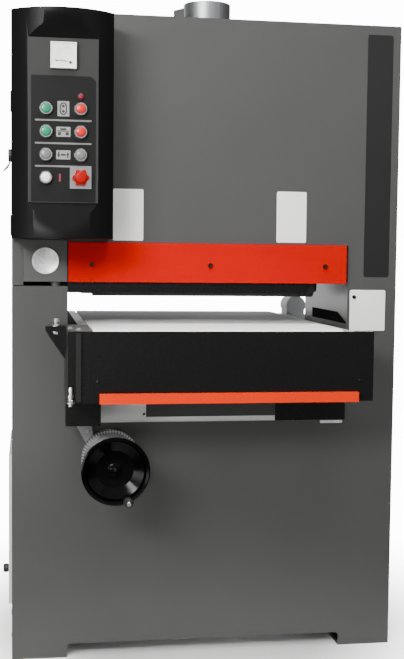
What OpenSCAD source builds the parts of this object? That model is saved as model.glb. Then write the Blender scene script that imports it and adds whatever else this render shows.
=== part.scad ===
// Wide belt sander: a sheet steel cabinet with a cantilevered sanding head above a feed table
// that rises on four screws. X runs to the right, Y into the machine, Z up from the floor.
// The origin lies on the floor in the middle of the cabinet's footprint.

/* [Cabinet] */
// Distance from the abrasive belt's edges to the cabinet's sides
side_room = 182.5; // [180:0.5:220]
// Depth of the cabinet
cab_d = 445; // [430:1:500]
// Thickness of the cabinet sheets
sheet = 3; // [2:0.5:4]
// Width of each foot
foot_w = 140; // [110:1:170]
// Height of the gap between the feet
foot_gap_h = 35; // [20:1:50]
// Corner radius of the gap between the feet
foot_gap_r = 10; // [4:1:16]
// Thickness of the floor plates inside the feet
skid_t = 10; // [6:1:16]
// Diameter of the floor anchor holes
anchor_d = 14; // [10:1:18]
// Distance of the floor anchor holes from the cabinet's sides
anchor_in_x = 70; // [50:1:90]
// Distance of the floor anchor holes from the front and the rear
anchor_in_y = 42.5; // [30:0.5:70]
// Width of the folded returns at the corners
return_w = 30; // [22:1:40]
// Width of the left post
left_post_w = 139; // [130:1:150]
// Width of the right column
right_col_w = 132; // [125:1:145]
// Thickness of the column's structural wall
wall_t = 8; // [5:1:12]
// Height of the window sill above the floor
window_z = 608; // [580:1:620]
// Height of the top of the left post
post_z = 956; // [945:1:970]
// Number of cooling slots in the rear panel
slot_n = 7; // [4:1:9]

/* [Head] */
// Height of the sanding line above the floor
sanding_z = 930; // [920:1:940]
// Inside length of the abrasive belt
abrasive_len = 1524; // [1480:1:1600]
// Width of the abrasive belt
abrasive_w = 635; // [600:1:645]
// Thickness of the abrasive belt
abrasive_t = 1.5; // [1:0.1:2.5]
// Diameter of the contact drum and the tension drum
drum_d = 152; // [140:1:165]
// Wall of the contact drum and the tension drum
drum_wall = 12; // [8:1:18]
// Diameter of the contact drum's shaft
drum_shaft_d = 45; // [38:1:55]
// Diameter of the tension drum's shaft
idler_shaft_d = 35; // [28:1:42]
// Space between the belt and the top panel
head_clear = 24.2; // [15:0.1:40]
// Width of the head beam's section
beam_y = 100; // [80:1:110]
// Height of the head beam's section
beam_z = 200; // [160:1:220]
// Wall of the head beam
beam_wall = 8; // [5:1:12]
// Space between the contact drum and the head beam
beam_clear = 44.5; // [30:0.5:60]
// Travel of the tension yoke when the air is let off
tension_travel = 15; // [8:1:20]
// Diameter of the pressure rollers
press_d = 56; // [48:1:60]
// Diameter of the pressure rollers' shafts
press_shaft_d = 20; // [16:1:26]
// Distance of the pressure rollers from the contact drum's axis
press_dy = 130; // [122:1:140]
// How much shorter the pressure rollers are than the abrasive belt is wide
press_less = 45; // [41:1:95]
// How far the pressure rollers reach below the sanding line
press_drop = 1; // [0.5:0.5:2]
// Height of the guard bar
guard_h = 100; // [90:1:115]
// How far the guard bar's top lies below the lock block's top
guard_down = 5; // [2:1:12]
// How far short of the passage the guard bar ends at its right
guard_short = 7; // [2:1:12]
// How far the guard bar stands out
guard_proud = 12; // [8:1:20]
// Distance of the guard bar's outer screws from its ends
guard_screw_in = 58; // [40:0.5:90]
// Height of the dust lip's edge above the sanding line
lip_up = 10; // [5:1:20]
// How far short of the passage the dust lip ends at its right
lip_short = 98; // [70:1:130]
// Outside diameter of the dust spigot
spigot_d = 127; // [100:1:152]
// Height of the dust spigot above the top panel
spigot_h = 80; // [60:1:120]
// Wall of the dust spigot
spigot_wall = 2; // [1.5:0.5:4]
// Width of the dust spigot's flange
spigot_flange = 21; // [12:1:24]
// Width of the roof lug
lug_w = 28; // [20:1:36]
// Height of the roof lug
lug_h = 54; // [40:1:70]
// Place of the dust spigot to the right of the middle
spigot_x = 22; // [-60:1:60]
// Width of the lock block
block_w = 109; // [95:1:109]
// Height of the lock block
block_h = 105; // [95:1:115]
// Gap under the lock block
block_gap = 11; // [8:1:14]
// Wall of the lock block
block_wall = 8; // [6:1:12]
// Diameter of the lock block's face disc
block_disc_d = 68; // [50:1:80]

/* [Table] */
// Free height between feed belt and sanding line as shown
table_gap = 70; // [60:1:90]
// How far the table reaches past the cabinet's front face
table_front = 240; // [230:1:260]
// How far the table reaches past the cabinet's rear face
table_rear = 300; // [240:1:340]
// How much narrower the feed belt is than the abrasive belt
feed_less = 25; // [20:1:45]
// Thickness of the feed belt
feed_t = 3; // [2:0.5:4]
// Diameter of the feed rollers
feed_roller_d = 89.4; // [80:0.1:95]
// Wall of the feed rollers and the pressure rollers
roller_wall = 7; // [4:1:9]
// Diameter of the feed rollers' shafts
feed_shaft_d = 30; // [24:1:34]
// Distance of each feed roller's axis from the table's ends
feed_inset = 65; // [60:1:75]
// Width of the table's side rails
rail_w = 22; // [16:1:26]
// Height of the table's side rails
rail_h = 116; // [108:1:120]
// Height of the table's crossmembers
cross_h = 40; // [30:1:50]
// Height of the front cover
cover_h = 168; // [160:1:180]
// Thickness of the front cover
cover_t = 4; // [3:0.5:6]
// Height of the knee bar
knee_h = 24; // [18:1:30]
// How much shorter the knee bar is than the front cover
knee_less = 80; // [60:1:180]
// Travel of the knee bar
knee_travel = 5; // [3:1:6]
// Diameter of the lifting screws
screw_d = 25; // [20:1:28]
// Distance between the lifting screws from left to right
screw_dx = 506; // [470:1:520]
// Distance between the lifting screws from front to rear
screw_dy = 280; // [270:1:290]
// Number of teeth on each lifting sprocket
sprocket_teeth = 20; // [16:1:24]
// Tip diameter of the lifting sprockets
sprocket_d = 90; // [84:1:96]
// Pitch of the lifting chain
chain_pitch = 12.7; // [9.5:0.1:15.9]
// Height of the handwheel's axis above the floor
wheel_z = 521; // [510:1:530]
// Outside diameter of the handwheel
wheel_d = 165; // [140:1:180]
// Distance from the front face to the handwheel's rim
wheel_out = 205; // [195:1:230]
// Depth of the handwheel's dish
wheel_depth = 38; // [28:1:45]
// Diameter of the handwheel's shaft
wheel_shaft_d = 20; // [16:1:24]
// Diameter of the graduated dial behind the handwheel
dial_d = 148; // [120:1:156]
// Number of graduation notches round the dial
dial_notches = 60; // [40:1:80]

/* [Controls] */
// Width of the control housing
ctl_w = 240; // [225:1:250]
// Height of the control housing
ctl_h = 531; // [500:1:550]
// Depth of the control housing's sides
ctl_side = 151; // [130:1:165]
// How far the front of the control housing bows out
ctl_bow = 49; // [35:1:60]
// Wall of the control housing
ctl_wall = 4; // [3:0.5:6]
// Distance from the flat panel to the control housing's top
panel_down = 68; // [60:1:80]
// Width of the flat panel
panel_w = 163; // [155:1:170]
// Thickness of the panel plate
panel_t = 3; // [2:0.5:4]
// Distance from the control housing's bottom to the flat panel
panel_up = 83; // [75:1:95]
// Height of the recess's upper slope
slope_up_h = 43; // [25:1:50]
// Height of the recess's lower slope
slope_low_h = 59; // [35:1:70]
// Distance between the two columns of buttons
button_dx = 81; // [76:1:90]
// Distance between the rows of buttons
button_dz = 53.2; // [48:0.1:56]
// Height of the lowest row of buttons above the panel's lower edge
button_up = 58; // [45:1:70]
// Diameter of the push-button caps
cap_d = 22.8; // [20:0.1:24]
// Travel of the push-buttons
button_travel = 4; // [2:0.5:5]
// Side of the meter's square face
meter_w = 60; // [48:1:72]
// Side of the emergency stop's back plate
estop_plate_w = 50; // [40:1:56]
// Diameter of the emergency stop's head
estop_d = 40; // [32:1:44]

/* [Drive] */
// Height of the main motor's axis above the floor
motor_z = 260; // [250:1:280]
// Diameter of the main motor's body
motor_d = 200; // [170:1:205]
// Length of the main motor's body
motor_l = 300; // [250:1:320]
// Diameter of the main motor's shaft
motor_shaft_d = 38; // [28:1:42]
// Outside diameter of the drive pulleys
pulley_d = 124; // [110:1:140]
// Number of drive belts
vbelt_n = 3; // [2:1:3]
// Width of a drive belt
vbelt_w = 11; // [9:0.5:12]
// Distance between the drive belts
vbelt_pitch = 15; // [14:0.5:15.5]

/* [Doors] */
// Depth of the upper door's tray
door_depth = 28.7; // [22:0.1:28.7]
// Gap round the doors
door_gap = 2; // [1.5:0.5:3]
// Height of the lower door opening's bottom edge
low_door_z = 150; // [120:1:170]
// Height of the lower door opening
low_door_h = 365; // [300:1:380]
// How far the lower door laps over its opening
low_door_lap = 10; // [6:1:14]
// How far the lower door stands out
low_door_proud = 8; // [6:1:12]
// Radius of the hinge knuckles
hinge_r = 5; // [4.5:0.5:8]
// Radius of the hinge pins
pin_r = 2.5; // [2:0.5:3]

/* [Hidden] */
$fn = 64;
run_fit = 0.05;   // radial clearance of shafts, pins and screws
belt_gap = 0.3;   // clearance between a drum or roller and the belt round it
slide_gap = 0.3;  // clearance beside parts that slide past each other
cab_w = abrasive_w + 2 * side_room;
fx = cab_w / 2;
fy = cab_d / 2;
pass_l = -fx + left_post_w;
pass_r = fx - right_col_w;
wall_x = pass_r;
pass_w = pass_r - pass_l;
anchor_x = fx - anchor_in_x;
anchor_y = fy - anchor_in_y;

drum_r = drum_d / 2;
abrasive_ri = drum_r + belt_gap;
abrasive_ro = abrasive_ri + abrasive_t;
drum_z = sanding_z + abrasive_ro;
idler_z = drum_z + (abrasive_len - PI * drum_d) / 2;
cab_h = idler_z + abrasive_ro + head_clear + sheet;
roof_z = cab_h - sheet;
beam_z0 = drum_z + drum_r + beam_clear;
beam_z1 = beam_z0 + beam_z;
arm_x = abrasive_w / 2 + 7.5;
arm_t = 20;
yoke_z = beam_z1 + 80;
yoke_h = 30;
tension_bore = 10;

block_z0 = post_z + block_gap;
block_z1 = block_z0 + block_h;
block_x1 = pass_l - 1;
block_x0 = block_x1 - block_w;
block_out = 8;
block_back = 60;
head_x0 = -fx + door_depth + slide_gap;
guard_z1 = block_z1 - guard_down;
guard_z0 = guard_z1 - guard_h;
guard_l = pass_l + 1;
guard_r = pass_r - guard_short;
guard_x = (guard_l + guard_r) / 2;
lug_left = 38;
lug_y = -80;
press_w = abrasive_w - press_less;
press_z = sanding_z - press_drop + press_d / 2;
hanger_t = 8;
hanger_x = press_w / 2 + 2;

table_z = sanding_z - table_gap;
table_y0 = -fy - table_front;
table_y1 = fy + table_rear;
feed_y0 = table_y0 + feed_inset;
feed_y1 = table_y1 - feed_inset;
feed_ri = feed_roller_d / 2 + belt_gap;
feed_ro = feed_ri + feed_t;
feed_z = table_z - feed_ro;
feed_x = -3;
feed_w = abrasive_w - feed_less;
rail_in = feed_w / 2 + 4;
rail_out = rail_in + rail_w;
rail_y0 = table_y0 + cover_t;
rail_y1 = table_y1;
rail_z1 = table_z - 4;
rail_z0 = rail_z1 - rail_h;
cross_z0 = rail_z0 - cross_h;
bed_t = 6;
bearing_t = 22;
bearing_w = 70;
gearbox_w = 74;
worm_r = 31;
worm_z = feed_z + 69;
cover_x0 = feed_x - rail_out - 1;
cover_x1 = pass_r - 2;
cover_z1 = table_z - 2;
cover_z0 = cover_z1 - cover_h;
knee_x = feed_x + 17.5;
knee_l = cover_x1 - cover_x0 - knee_less;
knee_t = 14;
knee_y = table_y0 - knee_travel - 1;
knee_pin_r = 5;
knee_pin_dx = knee_l / 2 - 100;
bracket_x0 = cover_x0 - 34;
bracket_t = 12;

tie_x = pass_l + 80;
tie_l = pass_w - 268;

wheel_x = -screw_dx / 2;
rail_top = 460;
screw_r = screw_d / 2;
hub_r = screw_r + 9.5;
beam_h = 40;
hub_z1 = rail_top + 40;
sprocket_z = rail_top + 6;
sprocket_t = 8;
sprocket_r = sprocket_d / 2;
chain_ri = sprocket_r + slide_gap;
chain_w = 8;
chain_t = 1.2;
chain_z = [sprocket_z - chain_t, sprocket_z + sprocket_t];
screw_z0 = rail_top - 130;
box_z0 = hub_z1 - 15;
nose_r = wheel_shaft_d / 2 + 10;
knob_r = 13;
knob_at = wheel_d / 2 - 8;
knob_turn = -68;
wheel_y = -fy - wheel_out;

ctl_x = -fx + 1 + ctl_w / 2;
panel_x = ctl_x + 0.5;
panel_h = ctl_h - panel_up - panel_down;
ctl_z0 = block_z1 + 1.5;
ctl_apex = ctl_side + ctl_bow;
ctl_r = (pow(ctl_w / 2, 2) + pow(ctl_bow, 2)) / (2 * ctl_bow);
panel_d = ctl_apex - ctl_r + sqrt(pow(ctl_r, 2) - pow(panel_w / 2, 2));
panel_z0 = ctl_z0 + panel_up;
panel_y = -fy - panel_d - panel_t;
row_z = panel_z0 + button_up;
cap_r = cap_d / 2;
bezel_ri = cap_r + slide_gap;
bezel_ro = bezel_ri + 4.3;
barrel_r = 11.1;
stem_r = 8.5;
stem_l = 20;
bezel_h = 10;
meter_z = panel_z0 + panel_h - 41;
estop_r = estop_d / 2;

pulley_x = wall_x + 48;
pulley_w = vbelt_n * vbelt_pitch;
pulley_r = pulley_d / 2;
groove = 6.5;
motor_x1 = wall_x - 108;
shelf_t = 8;
shelf_z = motor_z - motor_d / 2 - 7;

door_set = 2.5;
door_z0 = post_z + door_gap;
door_z1 = roof_z - door_gap;
hinge_x = -fx - hinge_r - 0.2;
hinge_y = fy - hinge_r;
knuckle_h = 20;
hinge_gap = 0.3;
latch_y = -fy + 40;
latch_z = ctl_z0 + 209;
latch_r = 6;
low_y = fy - return_w;
low_z1 = low_door_z + low_door_h;
low_hinge_y = low_y + low_door_lap + 10.5;
low_latch_y = -low_y + 15;
low_latch_z = low_door_z + 77;
low_latch_r = 5;

cabinet_grey = "#666666";
column_grey = "#5e5e5e";
satin_black = "#1c1c1c";
guard_red = "#e5300f";
bright_steel = "#c8c8c8";
panel_grey = "#4a4a4a";

// Block between two corners
module block(x, y, z) {
    translate([x[0], y[0], z[0]]) cube([x[1] - x[0], y[1] - y[0], z[1] - z[0]]);
}

// Round bars along each axis
module bar_x(x0, x1, y, z, r) {
    translate([x0, y, z]) rotate([0, 90, 0]) cylinder(r = r, h = x1 - x0);
}

module bar_y(y0, y1, x, z, r) {
    translate([x, y0, z]) rotate([-90, 0, 0]) cylinder(r = r, h = y1 - y0);
}

module bar_z(z0, z1, x, y, r) {
    translate([x, y, z0]) cylinder(r = r, h = z1 - z0);
}

// An outline seen from the front, drawn in X and Z, made thick from y0 to y1
module from_front(y0, y1) {
    translate([0, y1, 0]) rotate([90, 0, 0]) linear_extrude(y1 - y0) children();
}

// An outline seen from the side, drawn in Y and Z, made thick from x0 to x1
module from_side(x0, x1) {
    translate([x0, 0, 0]) rotate([90, 0, 90]) linear_extrude(x1 - x0) children();
}

// A solid of revolution about an axis along Y, drawn as radius and distance in front of y
module turned_y(x, y, z) {
    translate([x, y, z]) rotate([90, 0, 0]) rotate_extrude() children();
}

// A solid of revolution about an axis along X, drawn as radius and distance to the right of x
module turned_x(x, y, z) {
    translate([x, y, z]) rotate([0, 90, 0]) rotate_extrude() children();
}

// A tube on a hub about an axis along X, its two ends set in to a web in the middle
module hollow_drum(x0, x1, y, z, r, wall, hub) {
    w = x1 - x0;
    web = 40;
    deep = (w - web) / 2;
    turned_x(x0, y, z) polygon([
        [0, 0], [hub, 0], [hub, deep], [r - wall, deep], [r - wall, 0], [r, 0],
        [r, w], [r - wall, w], [r - wall, w - deep], [hub, w - deep], [hub, w], [0, w]
    ]);
}

// Outline of a loop round two equal wheels, the axes a length apart along the first axis
module stadium(length, r) {
    for (s = [-1, 1]) translate([s * length / 2, 0]) circle(r);
    square([length, 2 * r], center = true);
}

// Outline of a loop round four equal wheels at the corners of a rectangle
module corner_loop(dx, dy, r) {
    square([dx + 2 * r, dy], center = true);
    square([dx, dy + 2 * r], center = true);
    for (x = [-dx / 2, dx / 2], y = [-dy / 2, dy / 2]) translate([x, y]) circle(r);
}

// Cabinet base

// Outline of the gap between the feet
module foot_gap() {
    gap_w = cab_w - 2 * foot_w;
    inner_w = gap_w - 2 * foot_gap_r;
    translate([-gap_w / 2, -1]) square([gap_w, foot_gap_h - foot_gap_r + 1]);
    translate([-inner_w / 2, -1]) square([inner_w, foot_gap_h + 1]);
    for (s = [-1, 1]) translate([s * inner_w / 2, foot_gap_h - foot_gap_r]) circle(foot_gap_r);
}

// A full-width base sheet with the foot gap and folded returns behind it
module base_sheet() {
    from_front(-fy, -fy + sheet) difference() {
        translate([-fx, 0]) square([cab_w, window_z]);
        foot_gap();
    }
    for (s = [-1, 1]) {
        x = s > 0 ? fx - sheet : -fx;
        block([x, x + sheet], [-fy + sheet, -fy + return_w], [0, window_z]);
    }
}

module base_front_panel() color(cabinet_grey) difference() {
    base_sheet();
    bar_y(-fy - 1, -fy + sheet + 1, wheel_x, wheel_z, nose_r + slide_gap);
}

// The lower sheet has cooling slots for the motor, the upper one closes the head
module rear_panels() color(cabinet_grey) {
    slot_w = 160;
    slot_h = 6;
    difference() {
        mirror([0, 1, 0]) base_sheet();
        for (i = [0:slot_n - 1]) {
            z = motor_z - 60 + 20 * i;
            block([40, 40 + slot_w], [fy - sheet - 1, fy + 1], [z, z + slot_h]);
        }
    }
    block([-fx, wall_x], [fy - sheet, fy], [guard_z1, roof_z]);
    block([-fx, pass_l], [fy - sheet, fy], [post_z, guard_z1 - slide_gap]);
}

module base_skids() color(satin_black) difference() {
    for (s = [-1, 1]) {
        x0 = s < 0 ? -fx + sheet : fx - foot_w;
        block([x0, x0 + foot_w - sheet], [-fy + sheet, fy - sheet], [0, skid_t]);
    }
    for (x = [-1, 1], y = [-1, 1])
        bar_z(-1, skid_t + 1, x * anchor_x, y * anchor_y, anchor_d / 2);
}

// Left: kick plate and strip above the lower door. Right: lower cover and drive cover.
module side_panels() color(cabinet_grey) {
    side_y = fy - return_w;
    block([-fx, -fx + sheet], [-side_y, side_y], [0, low_door_z]);
    block([-fx, -fx + sheet], [-side_y, side_y], [low_z1, window_z]);
    block([fx - sheet, fx], [-side_y, side_y], [0, window_z]);
    block([fx - sheet, fx], [-side_y, side_y], [window_z, roof_z]);
}

// Closed post with an open bottom
module left_post() color(cabinet_grey) difference() {
    block([-fx, pass_l], [-fy, fy], [window_z, post_z]);
    block([-fx + sheet, pass_l - sheet], [-fy + sheet, fy - sheet], [window_z - 1, post_z - sheet]);
}

// Front and rear sheets with folded returns, and the structural wall that carries the head
module right_column() color(column_grey) difference() {
    union() {
        for (y = [-fy, fy - sheet]) block([pass_r, fx], [y, y + sheet], [window_z, roof_z]);
        for (y = [-fy + sheet, fy - return_w])
            block([fx - sheet, fx], [y, y + return_w - sheet], [window_z, roof_z]);
        block([wall_x, wall_x + wall_t], [-fy + sheet, fy - sheet], [window_z, roof_z]);
    }
    bar_x(wall_x - 1, wall_x + wall_t + 1, 0, drum_z, drum_shaft_d / 2 + 8);
}

// Rails for the lifting screws, the motor's shelf and the tie bar behind the sill
module base_crossbeams() color("#a8a8a8") {
    inner_y = fy - sheet;
    difference() {
        for (s = [-1, 1]) {
            x = s * screw_dx / 2;
            block([x - hub_r - 8, x + hub_r + 8], [-inner_y, inner_y], [rail_top - beam_h, rail_top]);
        }
        for (x = [-1, 1], y = [-1, 1]) {
            z = [rail_top - beam_h - 1, rail_top + 1];
            bar_z(z[0], z[1], x * screw_dx / 2, y * screw_dy / 2, hub_r + run_fit);
        }
    }
    block([motor_x1 - motor_l - 60, motor_x1 + 40], [-inner_y, inner_y], [shelf_z - shelf_t, shelf_z]);
    difference() {
        block([tie_x, tie_x + tie_l], [-inner_y, -inner_y + 6], [window_z - 48, window_z + 47]);
        for (x = [tie_x + 116, tie_x + tie_l - 116])
            bar_y(-inner_y - 1, -inner_y + 7, x, window_z + 20, 4);
    }
}

// Head

// Front sheet of the head, notched over the lock block, with a folded return at its left end
module head_front_panel() color(cabinet_grey) {
    notch_z = block_z1 + slide_gap;
    block([head_x0, pass_r], [-fy, -fy + sheet], [notch_z, roof_z]);
    block([pass_l, pass_r], [-fy, -fy + sheet], [guard_z1, notch_z]);
    block([head_x0, head_x0 + sheet], [-fy + sheet, -fy + return_w], [notch_z, roof_z]);
}

// Roof sheet with the spigot's hole and a small upright lug in front of it
module top_panel() color(cabinet_grey) {
    difference() {
        block([-fx, fx], [-fy, fy], [roof_z, cab_h]);
        bar_z(roof_z - 1, cab_h + 1, spigot_x, 0, spigot_d / 2 + slide_gap);
    }
    translate([spigot_x - spigot_d / 2 - lug_left, 0, cab_h]) from_front(lug_y, lug_y + 4)
        polygon([[0, -1], [lug_w, -1], [lug_w, lug_h], [0, lug_h - 8]]);
}

// Flanged dust spigot that stands in the roof's hole
module dust_port() color("#808080") translate([spigot_x, 0, 0]) difference() {
    union() {
        bar_z(roof_z, cab_h + spigot_h, 0, 0, spigot_d / 2);
        bar_z(cab_h, cab_h + sheet, 0, 0, spigot_d / 2 + spigot_flange);
    }
    bar_z(roof_z - 1, cab_h + spigot_h + 1, 0, 0, spigot_d / 2 - spigot_wall);
}

// Folded guard bar across the infeed with three screw holes
module guard_bar() color(guard_red) difference() {
    hole_dx = (guard_r - guard_l) / 2 - guard_screw_in;
    block([guard_l, guard_r], [-fy - guard_proud, -fy], [guard_z0, guard_z1]);
    block([guard_l - 1, guard_r + 1], [-fy - guard_proud + sheet, -fy + 1],
          [guard_z0 + sheet, guard_z1 - sheet]);
    for (i = [-1:1])
        bar_y(-fy - guard_proud - 1, -fy, guard_x + i * hole_dx, guard_z0 + 0.44 * guard_h, 5);
}

// A folded beam behind the guard with a dust lip, which carries a pressure roller between two hangers
module pressure_beam() {
    web_z = press_z + press_d / 2 + 12;
    tail = press_dy - press_d / 2 - 2;
    lip_x = pass_r - lip_short;
    block([pass_l, pass_r], [-fy, -fy + sheet], [guard_z0 + sheet, guard_z1]);
    from_front(-fy, -fy + sheet) polygon([
        [pass_l, sanding_z + lip_up], [lip_x - 14, sanding_z + lip_up], [lip_x, guard_z0 + sheet + 1],
        [pass_l, guard_z0 + sheet + 1]
    ]);
    block([pass_l, pass_r], [-fy + sheet - 1, -tail], [web_z, web_z + 6]);
    for (x = [-hanger_x - hanger_t, hanger_x]) difference() {
        union() {
            block([x, x + hanger_t], [-press_dy - 15, -press_dy + 15], [press_z, web_z + 1]);
            bar_x(x, x + hanger_t, -press_dy, press_z, 15);
        }
        bar_x(x - 1, x + hanger_t + 1, -press_dy, press_z, press_shaft_d / 2 + run_fit);
    }
}

module pressure_beams() color(satin_black) {
    pressure_beam();
    mirror([0, 1, 0]) pressure_beam();
}

module press_roller(y) {
    bar_x(-hanger_x - hanger_t, hanger_x + hanger_t, y, press_z, press_shaft_d / 2);
    hollow_drum(-press_w / 2, press_w / 2, y, press_z, press_d / 2, roller_wall,
                press_shaft_d / 2 + 3);
}

module infeed_roller() color("#303030") press_roller(-press_dy);

module outfeed_roller() color("#303030") press_roller(press_dy);

// Box beam inside the belt loop, its left arm above the lock block, and the air cylinder on top
module head_beam() color("#8a8a8a") {
    half = beam_y / 2;
    difference() {
        block([-arm_x - arm_t, wall_x], [-half, half], [beam_z0, beam_z1]);
        block([-arm_x - arm_t + beam_wall, wall_x + 1], [-half + beam_wall, half - beam_wall],
              [beam_z0 + beam_wall, beam_z1 - beam_wall]);
    }
    from_front(-half, half) polygon([
        [-arm_x - arm_t, beam_z0], [-arm_x - arm_t, beam_z1], [block_x0, block_z1 + 45],
        [block_x0, block_z1], [block_x1 - 1, block_z1], [block_x1 - 1, beam_z0]
    ]);
    difference() {
        bar_z(beam_z1, yoke_z - tension_travel - 5, 0, 0, 35);
        bar_z(beam_z1 + 10, yoke_z, 0, 0, tension_bore + run_fit);
    }
}

// Hanger bearing at the drum's left end and flanged bearing on the column wall
module drum_bearings() color("#4d5a63") {
    r = drum_shaft_d / 2 + run_fit;
    difference() {
        union() {
            block([-arm_x - arm_t, -arm_x], [-beam_y / 2 + 5, beam_y / 2 - 5], [drum_z, beam_z0]);
            bar_x(-arm_x - arm_t, -arm_x, 0, drum_z, beam_y / 2 - 5);
        }
        bar_x(-arm_x - arm_t - 1, -arm_x + 1, 0, drum_z, r);
    }
    difference() {
        union() {
            bar_x(wall_x + wall_t, wall_x + wall_t + 12, 0, drum_z, drum_shaft_d / 2 + 38);
            bar_x(wall_x + wall_t, wall_x + wall_t + 34, 0, drum_z, drum_shaft_d / 2 + 20);
        }
        bar_x(wall_x + wall_t - 1, wall_x + wall_t + 35, 0, drum_z, r);
    }
}

module abrasive_belt() color("#7a4a30") {
    mid_z = (drum_z + idler_z) / 2;
    translate([0, 0, mid_z]) from_side(-abrasive_w / 2, abrasive_w / 2) rotate(90) difference() {
        stadium(idler_z - drum_z, abrasive_ro);
        stadium(idler_z - drum_z, abrasive_ri);
    }
}

// Grooved drive pulley about an axis along X
module drive_pulley(z) {
    edge = (vbelt_pitch - vbelt_w - 0.8) / 2;
    difference() {
        bar_x(pulley_x, pulley_x + pulley_w, 0, z, pulley_r);
        for (i = [0:vbelt_n - 1]) {
            x = pulley_x + i * vbelt_pitch + edge;
            turned_x(x, 0, z) translate([pulley_r - groove, 0]) square([groove + 1, vbelt_w + 0.8]);
        }
    }
}

// Rubber covered contact drum with its shaft and pulley
module contact_drum() color("#2e2e2e") {
    hollow_drum(-abrasive_w / 2, abrasive_w / 2, 0, drum_z, drum_r, drum_wall, drum_shaft_d / 2 + 6);
    bar_x(-arm_x - arm_t - 2, pulley_x + pulley_w + 2, 0, drum_z, drum_shaft_d / 2);
    drive_pulley(drum_z);
}

module idler_drum() color(bright_steel) {
    hollow_drum(-abrasive_w / 2, abrasive_w / 2, 0, idler_z, drum_r, drum_wall, idler_shaft_d / 2 + 6);
    bar_x(-arm_x - arm_t - 2, arm_x + arm_t + 2, 0, idler_z, idler_shaft_d / 2);
}

// Fork that lifts the upper drum to tension the belt, on the rod of the air cylinder
module tension_yoke() color("#70787d") {
    half = beam_y / 2 - 12;
    bar_z(beam_z1 + 10 + tension_travel + 2, yoke_z + 5, 0, 0, tension_bore);
    block([-arm_x - arm_t, arm_x + arm_t], [-half, half], [yoke_z, yoke_z + yoke_h]);
    for (x = [-arm_x - arm_t, arm_x]) difference() {
        union() {
            block([x, x + arm_t], [-half, half], [yoke_z, idler_z]);
            bar_x(x, x + arm_t, 0, idler_z, half);
        }
        bar_x(x - 1, x + arm_t + 1, 0, idler_z, idler_shaft_d / 2 + run_fit);
    }
}

// Hollow block between head and post that is drawn out to change the belt
module lock_block() color("#7f7f7f") {
    difference() {
        block([block_x0, block_x1], [-fy - block_out, block_back], [block_z0, block_z1]);
        block([block_x0 + block_wall, block_x1 - block_wall],
              [-fy - block_out + block_wall, block_back + 1],
              [block_z0 + block_wall, block_z1 - block_wall]);
    }
    bar_y(-fy - block_out - 2, -fy - block_out, (block_x0 + block_x1) / 2, block_z0 + block_h / 2,
          block_disc_d / 2);
    for (y = [-fy + 18, block_back - 30]) bar_z(post_z, block_z0, block_x1 - 28, y, 13);
}

// Drive

// Finned outline of the motor's body
function fin_ring(n, r0, r1) = [
    for (i = [0:n - 1], p = [[-0.28, r0], [-0.18, r1], [0.18, r1], [0.28, r0]])
        let (a = 360 * (i + p[0]) / n) [p[1] * cos(a), p[1] * sin(a)]
];

module main_motor() color("#3f4a52") {
    r = motor_d / 2;
    x0 = motor_x1 - motor_l;
    difference() {
        union() {
            translate([0, 0, motor_z]) from_side(x0, motor_x1) polygon(fin_ring(28, r - 10, r));
            bar_x(motor_x1, motor_x1 + 16, 0, motor_z, r - 16);
            bar_x(x0 - 60, x0, 0, motor_z, r - 4);
            for (x = [x0 + 20, motor_x1 - 60])
                block([x, x + 40], [-r + 8, r - 8], [shelf_z, motor_z - r / 2]);
            block([x0 + 80, x0 + 200], [-50, 50], [motor_z + r - 20, motor_z + r + 45]);
        }
        bar_x(motor_x1 - 60, motor_x1 + 20, 0, motor_z, motor_shaft_d / 2 + run_fit);
    }
}

module motor_pulley() color("#5a5a5a") {
    bar_x(motor_x1 - 55, pulley_x + pulley_w + 2, 0, motor_z, motor_shaft_d / 2);
    drive_pulley(motor_z);
}

module v_belts() color("#202020") {
    inner_r = pulley_r - groove + 0.5;
    mid_z = (drum_z + motor_z) / 2;
    for (i = [0:vbelt_n - 1]) {
        x = pulley_x + (i + 0.5) * vbelt_pitch - vbelt_w / 2;
        translate([0, 0, mid_z]) from_side(x, x + vbelt_w) rotate(90) difference() {
            stadium(drum_z - motor_z, inner_r + 8);
            stadium(drum_z - motor_z, inner_r);
        }
    }
}

// Feed table

// Welded frame: two side rails, the bed under the belt and two crossmembers
module table_frame() color("#9a9a9a") {
    difference() {
        for (s = [-1, 1]) {
            x = s < 0 ? feed_x - rail_out : feed_x + rail_in;
            block([x, x + rail_w], [rail_y0, rail_y1], [rail_z0, rail_z1]);
        }
        for (y = [feed_y0, feed_y1])
            bar_x(feed_x - rail_out - 1, feed_x + rail_out + 1, y, feed_z, feed_shaft_d / 2 + 5);
    }
    bed_y = [feed_y0 + feed_ro + 6, feed_y1 - feed_ro - 6];
    bed_z1 = table_z - feed_t;
    block([feed_x - rail_in, feed_x + rail_in], bed_y, [bed_z1 - bed_t, bed_z1]);
    for (y = [-screw_dy / 2, screw_dy / 2])
        block([feed_x - rail_out, feed_x + rail_out], [y - 40, y + 40], [cross_z0, rail_z0]);
}

module feed_belt() color("#e4e4e4") {
    mid_y = (feed_y0 + feed_y1) / 2;
    translate([0, mid_y, feed_z]) from_side(feed_x - feed_w / 2, feed_x + feed_w / 2) difference() {
        stadium(feed_y1 - feed_y0, feed_ro);
        stadium(feed_y1 - feed_y0, feed_ri);
    }
}

module feed_roller(y, x0, x1) {
    hollow_drum(feed_x - feed_w / 2, feed_x + feed_w / 2, y, feed_z, feed_roller_d / 2, roller_wall,
                feed_shaft_d / 2 + 4);
    bar_x(x0, x1, y, feed_z, feed_shaft_d / 2);
}

module idle_roller() color("#5c5c5c") {
    end_x = rail_out + bearing_t;
    feed_roller(feed_y0, feed_x - end_x, feed_x + end_x);
}

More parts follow.
